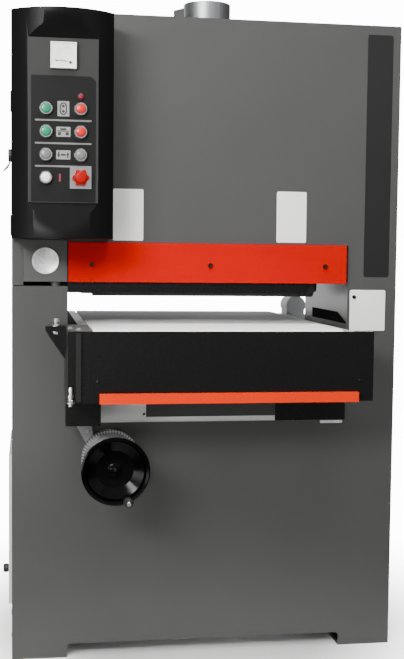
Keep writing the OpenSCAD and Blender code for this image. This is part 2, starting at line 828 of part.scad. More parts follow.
module drive_roller() color("#5c5c5c") {
    end_x = rail_out + bearing_t;
    feed_roller(feed_y1, feed_x - end_x, feed_x + end_x + gearbox_w - 4);
}

// Four bearing blocks on the outsides of the rails
module feed_bearings() color("#3a4046") {
    half = bearing_w / 2;
    for (s = [-1, 1], y = [feed_y0, feed_y1]) {
        x = s < 0 ? feed_x - rail_out - bearing_t : feed_x + rail_out;
        difference() {
            block([x, x + bearing_t], [y - half, y + half], [feed_z - half, feed_z + half]);
            bar_x(x - 1, x + bearing_t + 1, y, feed_z, feed_shaft_d / 2 + run_fit);
        }
    }
}

// Worm gearbox on the drive roller's shaft, the worm above it and its motor hanging below
module feed_gearmotor() color("#b9bcbe") {
    x0 = feed_x + rail_out + bearing_t;
    mid = x0 + gearbox_w / 2;
    difference() {
        union() {
            block([x0, x0 + gearbox_w], [feed_y1 - 45, feed_y1 + 45], [feed_z - 50, feed_z + 40]);
            block([x0 + 8, x0 + gearbox_w - 8], [feed_y1 - 38, feed_y1 + 38], [feed_z + 30, worm_z]);
            bar_y(feed_y1 - 45, feed_y1 + 45, mid, worm_z, worm_r);
            bar_z(feed_z - 62, feed_z - 50, mid, feed_y1, 52);
            bar_z(feed_z - 250, feed_z - 62, mid, feed_y1, 46);
            bar_z(feed_z - 276, feed_z - 250, mid, feed_y1, 49);
            block([mid + 39, mid + 63], [feed_y1 - 28, feed_y1 + 28], [feed_z - 170, feed_z - 90]);
        }
        bar_x(x0 - 1, x0 + gearbox_w + 1, feed_y1, feed_z, feed_shaft_d / 2 + run_fit);
    }
}

// Front cover sheet with folded top and right edges and the knee bar's guide bores
module front_cover() color(satin_black) {
    difference() {
        block([cover_x0, cover_x1], [table_y0, rail_y0], [cover_z0, cover_z1]);
        for (s = [-1, 1])
            bar_y(table_y0 - 1, rail_y0 + 1, knee_x + s * knee_pin_dx, cover_z0 + knee_h / 2,
                  knee_pin_r + run_fit);
    }
    block([cover_x1 - sheet, cover_x1], [rail_y0, rail_y0 + 40], [cover_z0, cover_z1]);
    block([feed_x + rail_out, cover_x1], [rail_y0, rail_y0 + 20], [cover_z1 - sheet, cover_z1]);
}

// Padded bar along the cover's lower edge on two guide pins
module knee_bar() color("#ff4a0d") {
    z = cover_z0 + knee_h / 2;
    block([knee_x - knee_l / 2, knee_x + knee_l / 2], [knee_y - knee_t, knee_y],
          [cover_z0, cover_z0 + knee_h]);
    for (s = [-1, 1])
        bar_y(knee_y - 2, rail_y0 + 18, knee_x + s * knee_pin_dx, z, knee_pin_r);
}

// Cast bracket at the table's left front corner with its stop arm and lower ear
module table_bracket() color(satin_black) {
    x1 = feed_x - rail_out;
    y = [table_y0, -fy - 20];
    z0 = cover_z0;
    top = [cover_z1 - 4, cover_z1];
    inner = bracket_x0 + bracket_t;
    block([bracket_x0, inner], y, [z0, cover_z1]);
    block([bracket_x0, cover_x0], [y[0], y[0] + cover_t], [z0, cover_z1]);
    block([bracket_x0, x1], [y[1] - 20, y[1]], [z0 + 60, cover_z1]);
    block([bracket_x0, x1], [y[0] + cover_t, y[0] + 80], top);
    block([bracket_x0, inner + 73], [-fy - 125, -fy - 60], [z0 - 71, z0]);
    block([bracket_x0, inner], [-fy - 125, -fy - 60], [z0 - 71, z0 + 10]);
    from_front(-fy - 52, -fy - 40) polygon([
        [bracket_x0 + 1, z0 + 115], [bracket_x0 - 48, z0 + 157], [bracket_x0 - 48, cover_z1],
        [bracket_x0 + 1, cover_z1]
    ]);
}

// Lift

// Toothed outline of a chain sprocket
function sprocket_ring(n, r) = [
    for (i = [0:n - 1], p = [[-0.36, -6], [-0.14, 0], [0.14, 0], [0.36, -6]])
        let (a = 360 * (i + p[0]) / n) [(r + p[1]) * cos(a), (r + p[1]) * sin(a)]
];

// Rotating nut with its sprocket, seated on a rail
module sprocket_nut(sx, sy, top) {
    x = sx * screw_dx / 2;
    y = sy * screw_dy / 2;
    difference() {
        union() {
            bar_z(rail_top - beam_h, top, x, y, hub_r);
            bar_z(rail_top, rail_top + 4, x, y, hub_r + 8);
            translate([x, y, sprocket_z]) linear_extrude(sprocket_t)
                polygon(sprocket_ring(sprocket_teeth, sprocket_r));
        }
        bar_z(rail_top - beam_h - 1, top + 1, x, y, screw_r + run_fit);
    }
}

module front_left_sprocket() color("#8c8c8c") sprocket_nut(-1, -1, wheel_z + 24);

module front_right_sprocket() color("#8c8c8c") sprocket_nut(1, -1, hub_z1);

module rear_left_sprocket() color("#8c8c8c") sprocket_nut(-1, 1, hub_z1);

module rear_right_sprocket() color("#8c8c8c") sprocket_nut(1, 1, hub_z1);

// Places of the chain's rollers along one straight run and round one corner
function run_places(length) = let (n = round(length / chain_pitch)) [
    for (i = [0:n - 1]) length * (i + 0.5) / n - length / 2
];
function turn_places(r) = let (n = round(PI / 2 * r / chain_pitch)) [
    for (i = [0:n - 1]) 90 * (i + 0.5) / n
];

// One roller of the chain, let halfway into both side plates
module chain_roller(place) {
    bar_z(chain_z[0] + chain_t / 2, chain_z[1] + chain_t / 2, place[0], place[1], 3);
}

// Chain round the four sprockets: two side plates with rollers between them
module lift_chain() color("#5a564f") {
    mid_r = chain_ri + chain_w / 2;
    x = screw_dx / 2;
    y = screw_dy / 2;
    for (z = chain_z) translate([0, 0, z]) linear_extrude(chain_t) difference() {
        corner_loop(screw_dx, screw_dy, chain_ri + chain_w);
        corner_loop(screw_dx, screw_dy, chain_ri);
    }
    for (s = [-1, 1]) {
        for (a = run_places(screw_dx)) chain_roller([a, s * (y + mid_r)]);
        for (a = run_places(screw_dy)) chain_roller([s * (x + mid_r), a]);
        for (t = [-1, 1], a = turn_places(mid_r))
            chain_roller([s * (x + mid_r * cos(a)), t * (y + mid_r * sin(a))]);
    }
}

module lead_screws() color(bright_steel) {
    for (x = [-1, 1], y = [-1, 1])
        bar_z(screw_z0, cross_z0, x * screw_dx / 2, y * screw_dy / 2, screw_r);
}

// Closed bevel gearbox behind the front panel: the handwheel's nose and the first sprocket's hub
module lift_gearbox() color("#6f767b") {
    screw_y = -screw_dy / 2;
    half = hub_r + 20;
    top = wheel_z + 44;
    difference() {
        union() {
            block([wheel_x - half, wheel_x + half], [screw_y - half, screw_y + half], [box_z0, top]);
            bar_y(-fy - 20, screw_y - half + 1, wheel_x, wheel_z, nose_r);
            bar_y(-fy + sheet, -fy + sheet + 10, wheel_x, wheel_z, nose_r + 16);
        }
        bar_y(-fy - 21, screw_y - hub_r - 6, wheel_x, wheel_z, wheel_shaft_d / 2 + run_fit);
        bar_z(box_z0 - 1, wheel_z + 26, wheel_x, screw_y, hub_r + run_fit);
        bar_z(box_z0, top + 1, wheel_x, screw_y, screw_r + 2);
    }
}

// Dished handwheel, drawn as radius and distance in front of the hub's back
module handwheel() color("#141414") {
    r = wheel_d / 2;
    hub_back = wheel_depth + 12;
    bore = wheel_shaft_d / 2 + run_fit;
    difference() {
        union() {
            turned_y(wheel_x, wheel_y + hub_back, wheel_z) polygon([
                [bore, 0], [24, 0], [24, 10], [r * 0.55, 13], [r * 0.86, 26], [r - 5, hub_back - 10],
                [r, hub_back - 8], [r, hub_back - 2], [r - 3, hub_back], [r - 9, hub_back - 2],
                [r * 0.84, hub_back - 16], [r * 0.55, 20], [26, 18], [bore, 18]
            ]);
            rotate_knob() bar_y(-2, 14, 0, 0, knob_r - 2);
        }
        rotate_knob() bar_y(-30, 20, 0, 0, 5 + run_fit);
    }
}

// Places its children at the crank knob's axis, on the plane of the handwheel's rim
module rotate_knob() {
    x = wheel_x + knob_at * cos(knob_turn);
    translate([x, wheel_y, wheel_z + knob_at * sin(knob_turn)]) children();
}

// Shaft with the graduated dial behind the handwheel
module wheel_shaft() color(bright_steel) {
    r = dial_d / 2;
    dial_y = -fy - 47;
    ring = [
        for (i = [0:dial_notches - 1], p = [[-0.18, -1.6], [-0.1, 0], [0.6, 0], [0.68, -1.6]])
            let (a = 360 * (i + p[0]) / dial_notches) [(r + p[1]) * cos(a), (r + p[1]) * sin(a)]
    ];
    bar_y(wheel_y + wheel_depth - 6, -screw_dy / 2 - hub_r - 8, wheel_x, wheel_z, wheel_shaft_d / 2);
    translate([wheel_x, 0, wheel_z]) from_front(dial_y, dial_y + 22) polygon(ring);
    turned_y(wheel_x, dial_y, wheel_z) polygon([[0, 0], [r - 6, 0], [24, 16], [24, 30], [0, 30]]);
}

// Turning knob on the handwheel's rim
module handwheel_knob() color("#1a1a1a") rotate_knob() {
    bar_y(-20, 13, 0, 0, 5);
    turned_y(0, -2.5, 0) polygon([
        [0, 0], [8, 0], [knob_r - 2, 8], [knob_r, 22], [knob_r - 2, 32], [7, 38], [0, 39]
    ]);
}

// Controls

// Plan outline of the control housing: straight sides and a bowed front
module ctl_outline(inset) {
    apex = ctl_apex - inset;
    half = ctl_w / 2 - inset;
    intersection() {
        translate([-half, -apex]) square([2 * half, apex]);
        union() {
            translate([0, ctl_r - ctl_apex]) circle(ctl_r - inset);
            translate([-half, -ctl_side]) square([2 * half, ctl_side]);
        }
    }
}

// Bowed housing, cut back to a flat with sloping ends, hollow behind the panel
module control_housing() color(satin_black) {
    flat_z = [panel_z0, panel_z0 + panel_h];
    back = ctl_side - 12;
    window_w = panel_w / 2 - 12;
    translate([ctl_x, -fy, 0]) difference() {
        translate([0, 0, ctl_z0]) linear_extrude(ctl_h) ctl_outline(0);
        from_side(-ctl_w, ctl_w) polygon([
            [-ctl_apex - 1, flat_z[0] - slope_low_h - 2], [-ctl_apex, flat_z[0] - slope_low_h],
            [-panel_d, flat_z[0]], [-panel_d, flat_z[1]],
            [-ctl_apex, flat_z[1] + slope_up_h], [-ctl_apex - 1, flat_z[1] + slope_up_h + 2]
        ]);
        block([-ctl_w / 2 + ctl_wall, ctl_w / 2 - ctl_wall], [-back, 1],
              [ctl_z0 + ctl_wall, ctl_z0 + ctl_h - ctl_wall]);
        block([-window_w, window_w], [-ctl_apex, -back + 1], [flat_z[0] + 15, flat_z[1] - 10]);
    }
}

// Places of the push-buttons: column, row
left_col = panel_x - button_dx / 2;
right_col = panel_x + button_dx / 2;
button_places = [
    [left_col, 0], [left_col, 1], [right_col, 1], [left_col, 2], [right_col, 2], [left_col, 3],
    [right_col, 3]
];

module control_panel() color(panel_grey) difference() {
    block([panel_x - panel_w / 2, panel_x + panel_w / 2], [panel_y, panel_y + panel_t],
          [panel_z0, panel_z0 + panel_h]);
    for (p = button_places)
        bar_y(panel_y - 1, panel_y + panel_t + 1, p[0], row_z + p[1] * button_dz, barrel_r + run_fit);
    bar_y(panel_y - 1, panel_y + panel_t + 1, right_col, row_z, barrel_r + run_fit);
    bar_y(panel_y - 1, panel_y + panel_t + 1, panel_x, meter_z, meter_w / 2 - 5 + run_fit);
}

// Square meter with a sunk face and a round body behind the panel
module ammeter() color("#f0f0f0") {
    half = meter_w / 2;
    depth = 13;
    difference() {
        block([panel_x - half, panel_x + half], [panel_y - depth, panel_y], [meter_z - half, meter_z + half]);
        block([panel_x - half + 3, panel_x + half - 3], [panel_y - depth - 1, panel_y - depth + 2],
              [meter_z - half + 3, meter_z + half - 3]);
    }
    bar_y(panel_y, panel_y + 35, panel_x, meter_z, half - 5);
}

// Section of a bezel ring and its barrel
module bezel_profile() polygon([
    [stem_r + run_fit, -stem_l], [barrel_r, -stem_l], [barrel_r, 0], [bezel_ro, 0],
    [bezel_ro, bezel_h - 3], [bezel_ro - 2, bezel_h], [bezel_ri, bezel_h], [bezel_ri, 1],
    [stem_r + run_fit, 1]
]);

// Ring and threaded barrel of each push-button, and the emergency stop's back plate and barrel
module button_bezels() color("#b8b8b8") {
    for (p = button_places) turned_y(p[0], panel_y, row_z + p[1] * button_dz) bezel_profile();
    half = estop_plate_w / 2;
    difference() {
        union() {
            block([right_col - half, right_col + half], [panel_y - 3, panel_y], [row_z - half, row_z + half]);
            bar_y(panel_y - 3, panel_y + stem_l, right_col, row_z, barrel_r);
        }
        bar_y(panel_y - 4, panel_y + stem_l + 1, right_col, row_z, stem_r + run_fit);
    }
}

// Domed cap on a stem, drawn as radius and distance in front of the panel
module push_button(x, row) {
    base = button_travel + 1.5;
    top = bezel_h + button_travel;
    turned_y(x, panel_y, row_z + row * button_dz) polygon([
        [0, -stem_l - 2], [stem_r, -stem_l - 2], [stem_r, base], [cap_r, base], [cap_r, top - 2],
        [cap_r - 2, top], [cap_r * 0.5, top + 0.7], [0, top + 1]
    ]);
}

module sander_start_button() color("#1f8a5b") push_button(left_col, 3);

module sander_stop_button() color("#e8473f") push_button(right_col, 3);

module feed_start_button() color("#1f8a5b") push_button(left_col, 2);

module feed_stop_button() color("#e8473f") push_button(right_col, 2);

module table_up_button() color("#8f8f8f") push_button(left_col, 1);

module table_down_button() color("#8f8f8f") push_button(right_col, 1);

module power_button() color("#f2f2f2") push_button(left_col, 0);

// Lobed mushroom head on a stem
module estop_head() color("#e02a1c") {
    lobes = 6;
    base = panel_y - 3 - button_travel - 2;
    bar_y(base - 2, panel_y + stem_l + 2, right_col, row_z, stem_r);
    translate([right_col, 0, row_z]) from_front(base - 12, base) {
        circle(estop_r * 0.8);
        for (i = [0:lobes - 1]) rotate(360 * i / lobes) translate([estop_r * 0.72, 0]) circle(estop_r * 0.28);
    }
    turned_y(right_col, base - 11, row_z) polygon([[0, 0], [estop_r * 0.8, 0], [estop_r * 0.6, 6], [0, 8]]);
}

// Doors

// Height of the lower knuckle of each hinge
upper_hinges = [door_z0 + 130, door_z1 - 190];
lower_hinges = [low_door_z + 50, low_z1 - 110];

// The door's knuckle between the two fixed ones
module door_knuckle(y, z) {
    bar_z(z + knuckle_h + hinge_gap, z + 2 * knuckle_h - hinge_gap, hinge_x, y, hinge_r);
}

// Fixed knuckles with their leaves, and the pin through them
module fixed_hinge(y, z, leaf_x, leaf_y) {
    for (k = [0, 2 * knuckle_h]) {
        bar_z(z + k, z + k + knuckle_h, hinge_x, y, hinge_r);
        block(leaf_x, leaf_y, [z + k, z + k + knuckle_h]);
    }
    bar_z(z, z + 3 * knuckle_h, hinge_x, y, pin_r);
}

module hinge_pins() color("#3c3c3c") {
    for (z = upper_hinges) fixed_hinge(hinge_y, z, [hinge_x, -fx], [fy - sheet, fy]);
    for (z = lower_hinges) fixed_hinge(low_hinge_y, z, [-fx - 2, -fx], [low_hinge_y - hinge_r, fy - sheet]);
}

// Tray door over the head's left end
module upper_door() color(cabinet_grey) difference() {
    union() {
        difference() {
            block([-fx, -fx + door_depth], [-fy + door_set, fy - sheet - 1.5], [door_z0, door_z1]);
            block([-fx + sheet, -fx + door_depth + 1], [-fy + door_set + sheet, fy - 1.5 - 2 * sheet],
                  [door_z0 + sheet, door_z1 - sheet]);
        }
        for (z = upper_hinges) {
            door_knuckle(hinge_y, z);
            block([-fx - sheet - 0.2, -fx], [hinge_y - 48, hinge_y],
                  [z + knuckle_h + hinge_gap, z + 2 * knuckle_h - hinge_gap]);
        }
    }
    for (z = upper_hinges) bar_z(z, z + 3 * knuckle_h, hinge_x, hinge_y, pin_r + 2 * run_fit);
    bar_x(-fx - 1, -fx + sheet + 1, latch_y, latch_z, latch_r + run_fit);
}

// Shallow tray door that laps over the base's left opening
module lower_door() color("#d9d9d9") difference() {
    y = low_y + low_door_lap;
    z = [low_door_z - low_door_lap, low_z1 + low_door_lap];
    x0 = -fx - low_door_proud;
    union() {
        difference() {
            block([x0, -fx], [-y, y], z);
            block([x0 + sheet, -fx + 1], [-y + sheet, y - sheet], [z[0] + sheet, z[1] - sheet]);
        }
        for (h = lower_hinges) {
            door_knuckle(low_hinge_y, h);
            block([hinge_x - 1.5, hinge_x + 1.5], [y - 8, low_hinge_y],
                  [h + knuckle_h + hinge_gap, h + 2 * knuckle_h - hinge_gap]);
        }
    }
    for (h = lower_hinges) bar_z(h, h + 3 * knuckle_h, hinge_x, low_hinge_y, pin_r + 2 * run_fit);
    bar_x(x0 - 1, x0 + sheet + 1, low_latch_y, low_latch_z, low_latch_r + run_fit);
}

// Turning latch with a curled lever and an inner cam
module upper_latch() color("#181818") {
    bar_x(-fx - 6, -fx + 14, latch_y, latch_z, latch_r);
    bar_x(-fx - 9, -fx - 0.3, latch_y, latch_z, 16);
    translate([-fx - 9, latch_y, latch_z]) from_front(-9, 9) polygon([
        [3, 14], [3, -16], [-2, -26], [-13, -38], [-11, -40], [0, -31], [4, -22], [6, -16], [6, 14]
    ]);
    block([-fx + 8, -fx + 12], [latch_y - 7, latch_y + 7], [latch_z - 4, latch_z + 24]);
}

// Turning knob with an inner cam
module lower_latch() color("#181818") {
    x0 = -fx - low_door_proud;
    bar_x(x0 - 6, -fx + 8, low_latch_y, low_latch_z, low_latch_r);
    turned_x(x0 - 14, low_latch_y, low_latch_z) polygon([[0, 0], [9, 0], [11, 3], [11, 11], [9, 13.5], [0, 13.5]]);
    block([-fx + 4, -fx + 8], [low_latch_y - 12.5, low_latch_y + 6], [low_latch_z - 6, low_latch_z + 6]);
}

base_front_panel();
rear_panels();
base_skids();
side_panels();
left_post();
right_column();
head_front_panel();
top_panel();
dust_port();
guard_bar();
pressure_beams();
head_beam();
drum_bearings();
abrasive_belt();
main_motor();
base_crossbeams();
v_belts();
control_housing();
control_panel();
ammeter();
button_bezels();
lift_gearbox();
lift_chain();
hinge_pins();
lock_block();
contact_drum();
motor_pulley();
tension_yoke();
idler_drum();
infeed_roller();
outfeed_roller();
table_frame();
feed_belt();
lead_screws();
feed_bearings();
front_cover();
table_bracket();
feed_gearmotor();
drive_roller();
idle_roller();
knee_bar();
handwheel();
wheel_shaft();
handwheel_knob();
front_left_sprocket();
front_right_sprocket();
rear_left_sprocket();
rear_right_sprocket();
sander_start_button();
sander_stop_button();
feed_start_button();
feed_stop_button();
table_up_button();
table_down_button();
power_button();
estop_head();
upper_door();
lower_door();
upper_latch();
lower_latch();
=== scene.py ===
"""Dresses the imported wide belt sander: finishes, small fittings, studio and camera."""
import logging
import math
from collections.abc import Sequence
from dataclasses import dataclass, field
from enum import Enum

import bmesh
import bpy
from mathutils import Matrix, Vector


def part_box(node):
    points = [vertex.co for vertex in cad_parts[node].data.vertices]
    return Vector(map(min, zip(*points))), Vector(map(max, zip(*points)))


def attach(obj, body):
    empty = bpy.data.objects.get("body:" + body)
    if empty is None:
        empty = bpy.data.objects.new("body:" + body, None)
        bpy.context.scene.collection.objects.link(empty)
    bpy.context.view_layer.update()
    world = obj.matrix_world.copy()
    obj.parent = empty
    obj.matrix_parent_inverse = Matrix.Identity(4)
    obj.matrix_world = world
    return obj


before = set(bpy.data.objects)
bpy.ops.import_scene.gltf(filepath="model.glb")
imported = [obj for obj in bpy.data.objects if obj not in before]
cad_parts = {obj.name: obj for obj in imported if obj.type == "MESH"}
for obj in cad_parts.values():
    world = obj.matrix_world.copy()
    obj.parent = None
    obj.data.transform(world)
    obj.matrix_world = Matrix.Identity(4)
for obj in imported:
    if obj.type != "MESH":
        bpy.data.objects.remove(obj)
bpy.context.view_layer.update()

LOG = logging.getLogger("sander")
MM = 0.001
# The photograph's size in pixels, and the width of the camera's sensor
IMAGE_W, IMAGE_H = 404, 659
SENSOR_MM = 36.0
# Facets round a turned piece, the dial, a screw, a printed dot and a hexagon
ROUND_STEPS, DIAL_STEPS, SCREW_STEPS, DOT_STEPS, HEX_STEPS = 48, 96, 24, 20, 6
# Degrees between the points of a round corner
CORNER_STEP = 15
# Edges of a piece with a larger angle than this, in degrees, stay sharp
SHARP_DEGREES = 35.0
# Corners of an outline that lie closer than this, in metres, are one
WELD = 1e-6

Point = tuple[float, float]
Outline = Sequence[Point]
Box = tuple[float, float, float, float]
Spot = tuple[float, float, float]
Place = tuple[Vector, Vector]

FRONT, REAR = Vector((0, -1, 0)), Vector((0, 1, 0))
LEFT, RIGHT = Vector((-1, 0, 0)), Vector((1, 0, 0))
UP = Vector((0, 0, 1))


def linear(hex_colour: str) -> tuple[float, float, float, float]:
    """Turns an sRGB hex colour to linear.

    Args:
        hex_colour: six hex digits after a hash sign.

    Returns:
        Linear red, green, blue and an alpha of one.
    """
    out = []
    for i in (1, 3, 5):
        c = int(hex_colour[i:i + 2], 16) / 255
        out.append(c / 12.92 if c <= 0.04045 else ((c + 0.055) / 1.055) ** 2.4)
    return out[0], out[1], out[2], 1.0


def add_node(tree: bpy.types.NodeTree, kind: str, settings: dict | None = None,
             links: dict | None = None) -> bpy.types.Node:
    """Adds one shader node with its settings and links.

    Args:
        tree: the material's node tree.
        kind: the node's type name.
        settings: input names or numbers with their values, or plain properties.
        links: input names or numbers with the output sockets that feed them.

    Returns:
        The new node.
    """
    node = tree.nodes.new(kind)
    for key, value in (settings or {}).items():
        if isinstance(key, int) or key in node.inputs:
            node.inputs[key].default_value = value
        else:
            setattr(node, key, value)
    for key, socket in (links or {}).items():
        tree.links.new(socket, node.inputs[key])
    return node


class Grain(Enum):
    """How a surface was made, which sets its fine pattern."""

    PEEL = "sprayed coat"
    BRUSHED_X = "brushed along X"
    BRUSHED_Z = "brushed along Z"
    CAST = "sand cast"
    MOULDED = "moulded"
    TURNED = "turned on a lathe"
    WOVEN = "woven"
    GRIT = "coated grit"


# A brushed line is fifty times as long as it is wide
STRETCH = {Grain.BRUSHED_X: (0.02, 1.0, 1.0), Grain.BRUSHED_Z: (1.0, 1.0, 0.02)}
# Blender's wave repeats every 0.314 m at a scale of 1; this makes a ridge and a hollow about a grain wide each
WAVE_SCALE = 0.16
# The middle of a pattern's range, which is spread over the whole change of tone or gloss
TONE_SPAN = {"From Min": 0.3, "From Max": 0.7}
GLOSS_SPAN = {"From Min": 0.25, "From Max": 0.75}
# How much of the tone comes from the fine pattern, and how much from the slow cloud
FINE_SHARE, CLOUD_SHARE = 0.45, 0.55
BUMP_STRENGTH = 0.5
COAT_ROUGHNESS = 0.12


@dataclass(frozen=True)
class Finish:
    """A real material and its surface.

    The pattern's width and depth are in millimetres, and shade is the colour in its hollows. Spread is how far
    the roughness swings with the pattern, cloud_mm the size of the slow changes of tone, and centre the middle
    of a turned pattern's rings.
    """

    name: str
    colour: str
    shade: str
    roughness: float
    grain: Grain = Grain.PEEL
    grain_mm: float = 1.5
    depth_mm: float = 0.03
    metallic: float = 0.0
    ior: float = 1.5
    coat: float = 0.0
    spread: float = 0.06
    cloud_mm: float = 220.0
    centre: Spot = (0.0, 0.0, 0.0)

    def material(self) -> bpy.types.Material:
        """Returns the finish's material, made on the first call."""
        known = bpy.data.materials.get(self.name)
        return known if known else self._make()

    def _pattern(self, tree: bpy.types.NodeTree) -> bpy.types.NodeSocket:
        """Builds the fine pattern.

        Args:
            tree: the material's node tree.

        Returns:
            The socket with the pattern's height from 0 to 1.
        """
        coords = add_node(tree, "ShaderNodeTexCoord").outputs["Object"]
        scale = 1 / (self.grain_mm * MM)
        place = {"Location": tuple(-c for c in self.centre), "Scale": STRETCH.get(self.grain, (1, 1, 1))}
        at = add_node(tree, "ShaderNodeMapping", place, {"Vector": coords}).outputs["Vector"]
        if self.grain is Grain.TURNED:
            rings = {"wave_type": "RINGS", "rings_direction": "Y", "Scale": scale * WAVE_SCALE, "Distortion": 0.4}
            return add_node(tree, "ShaderNodeTexWave", rings, {"Vector": at}).outputs["Fac"]
        if self.grain is Grain.WOVEN:
            bands = [add_node(tree, "ShaderNodeTexWave", {"bands_direction": d, "Scale": scale * WAVE_SCALE},
                              {"Vector": at}).outputs["Fac"] for d in ("X", "Y")]
            return add_node(tree, "ShaderNodeMath", {"operation": "MULTIPLY"},
                            {0: bands[0], 1: bands[1]}).outputs[0]
        if self.grain in (Grain.GRIT, Grain.CAST):
            cells = {"Scale": scale, "Randomness": 1.0}
            return add_node(tree, "ShaderNodeTexVoronoi", cells, {"Vector": at}).outputs["Distance"]
        noise = {"Scale": scale, "Detail": 3.0, "Roughness": 0.55}
        return add_node(tree, "ShaderNodeTexNoise", noise, {"Vector": at}).outputs[0]

    def _make(self) -> bpy.types.Material:
        """Makes the material with the finish's colour, gloss and relief.

        Returns:
            The new material.
        """
        made = bpy.data.materials.new(self.name)
        made.use_nodes = True
        tree = made.node_tree
        shader = tree.nodes["Principled BSDF"]
        pattern = self._pattern(tree)
        coords = add_node(tree, "ShaderNodeTexCoord").outputs["Object"]
        # handling and light dust change the tone slowly over the whole piece
        cloud = add_node(tree, "ShaderNodeTexNoise", {"Scale": 1 / (self.cloud_mm * MM), "Detail": 2.0},
                         {"Vector": coords}).outputs[0]
        fine = add_node(tree, "ShaderNodeMapRange", {**TONE_SPAN, "To Max": FINE_SHARE},
                        {"Value": pattern}).outputs[0]
        broad = add_node(tree, "ShaderNodeMapRange", {**TONE_SPAN, "To Max": CLOUD_SHARE},
                         {"Value": cloud}).outputs[0]
        tone = add_node(tree, "ShaderNodeMath", {"operation": "ADD", "use_clamp": True},
                        {0: fine, 1: broad}).outputs[0]
        mix = {"data_type": "RGBA", 6: linear(self.shade), 7: linear(self.colour)}
        colour = add_node(tree, "ShaderNodeMix", mix, {0: tone}).outputs[2]
        swing = {**GLOSS_SPAN, "To Min": self.roughness - self.spread, "To Max": self.roughness + self.spread}
        gloss = add_node(tree, "ShaderNodeMapRange", swing, {"Value": pattern}).outputs[0]
        relief = add_node(tree, "ShaderNodeBump", {"Strength": BUMP_STRENGTH, "Distance": self.depth_mm * MM},
                          {"Height": pattern}).outputs[0]
        for name, socket in (("Base Color", colour), ("Roughness", gloss), ("Normal", relief)):
            tree.links.new(socket, shader.inputs[name])
        shader.inputs["Metallic"].default_value = self.metallic
        if not self.metallic:
            shader.inputs["IOR"].default_value = self.ior
        shader.inputs["Coat Weight"].default_value = self.coat
        shader.inputs["Coat Roughness"].default_value = COAT_ROUGHNESS
        return made


# An IOR below the usual 1.5 stands where the object mirrors less of the room than such a surface could. Moulded
# and plated skins have a tooth of about 0.1 mm, which is drawn at 1 to 3 mm so that it shows, and the pebbles of
# a casting, about 1 mm across, are drawn at 2.5 to 7 mm.

# Powder coat: baked on, with a faint orange peel that breaks up reflections. The real peel is about 1 mm
# across and is drawn at 4 mm so that it shows.
CABINET_COAT = Finish("grey_powder_coat", "#424241", "#3d3d3c", 0.34, grain_mm=4.0, depth_mm=0.05)
DOOR_COAT = Finish("pale_grey_powder_coat", "#cfcfcd", "#c4c4c2", 0.5, grain_mm=4.0, depth_mm=0.05)
# Machine enamel: sprayed thick on welded frames, satin, with a soft ripple
FRAME_COAT = Finish("light_grey_machine_enamel", "#b2b3b2", "#a6a7a6", 0.5, grain_mm=5.0, depth_mm=0.08)
# lighter copy of the frame enamel for the crossbeams: painted light, for the light the tie bar catches under the sill
LIT_FRAME_COAT = Finish("frame_enamel_painted_lighter", "#e6e6e4", "#dadad8", 0.5, grain_mm=5.0, depth_mm=0.08)
# Dark paint on thin sheet: flat, with a low even gloss; the charcoal sheet is painted shade over the tie bar
SHADE_SHEET_CHARCOAL = Finish("charcoal_painted_shade_sheet", "#3c3c3b", "#343433", 0.36, grain_mm=4.0, depth_mm=0.04, ior=1.4)
PANEL_COAT = Finish("charcoal_panel_coat", "#333332", "#2f2f2e", 0.42, grain_mm=3.0, depth_mm=0.03, ior=1.2)
# Baked black enamel: a deep black with a tight gloss; it also colours the black painted-shade sheet behind the sill
BLACK_ENAMEL_AND_SHADE = Finish("black_baked_enamel_and_painted_shade", "#0e0e0e", "#0b0b0b", 0.3, grain_mm=4.0, depth_mm=0.04, ior=1.3)
# Black enamel drawn greyer and less glossy than the bracket's, so that the rib shows as a lighter band
GREYED_BLACK_ENAMEL = Finish("greyed_black_enamel", "#1f1f1e", "#171716", 0.45, grain_mm=6.0, depth_mm=0.05, ior=1.3,
                       cloud_mm=40.0)
# Gloss enamel on the two safety bars: a strong even colour up to the edges
GUARD_ENAMEL = Finish("red_gloss_enamel", "#b40300", "#aa0300", 0.22, grain_mm=6.0, depth_mm=0.04, ior=1.1)
KNEE_ENAMEL = Finish("orange_gloss_enamel", "#e03000", "#d62c00", 0.24, grain_mm=6.0, depth_mm=0.04, ior=1.1)
# Cast iron under glossy black enamel: the wheel mirrors the room in broad patches
WHEEL_ENAMEL = Finish("black_gloss_enamel_on_iron", "#030303", "#020202", 0.14, grain_mm=14.0, depth_mm=0.1, ior=1.2)
# Rolled galvanised sheet: dull silver with darker streaks along the rolling
ZINC_SHEET = Finish("rolled_galvanised_steel", "#a8a9aa", "#7d7f81", 0.4, Grain.BRUSHED_Z, 3.0, 0.03, 0.9)
# Ground steel: bright, with fine lines. Real ones are far under 0.1 mm and are drawn at 1 mm.
BRIGHT_STEEL = Finish("bright_ground_steel", "#d4d5d6", "#b6b8ba", 0.24, Grain.BRUSHED_X, 1.0, 0.02, 1.0)
# Bright zinc plate: small hard highlights on screws and nuts
SCREW_STEEL = Finish("bright_zinc_plated_steel", "#dcdcda", "#b9b9b6", 0.28, Grain.MOULDED, 1.5, 0.02, 1.0)
# Bare steel under oil: dark, a little brown, with a dull sheen
OILED_STEEL = Finish("oiled_dark_steel", "#5d5a55", "#3f3c38", 0.42, Grain.MOULDED, 3.0, 0.04, 0.85)
# Blackened steel: brown-black, with a thin sheen on the rims
BLACK_OXIDE = Finish("black_oxide_steel", "#26241f", "#171613", 0.4, Grain.MOULDED, 2.0, 0.03, 0.6)
# Chromed brass: bright rings that mirror the room
BEZEL_CHROME = Finish("chromed_brass_bezel", "#d2d3d3", "#a9abab", 0.2, Grain.MOULDED, 1.5, 0.01, 1.0)
# Satin chrome over turned steel: rings that shimmer round the dial. Real tool marks are too fine to show and
# are drawn as 2 mm ridges.
DIAL_STEEL = Finish("satin_chromed_dial_steel", "#aeafaf", "#8e9090", 0.42, Grain.TURNED, 2.0, 0.02, 0.7,
                    centre=(-0.253, 0.0, 0.521))
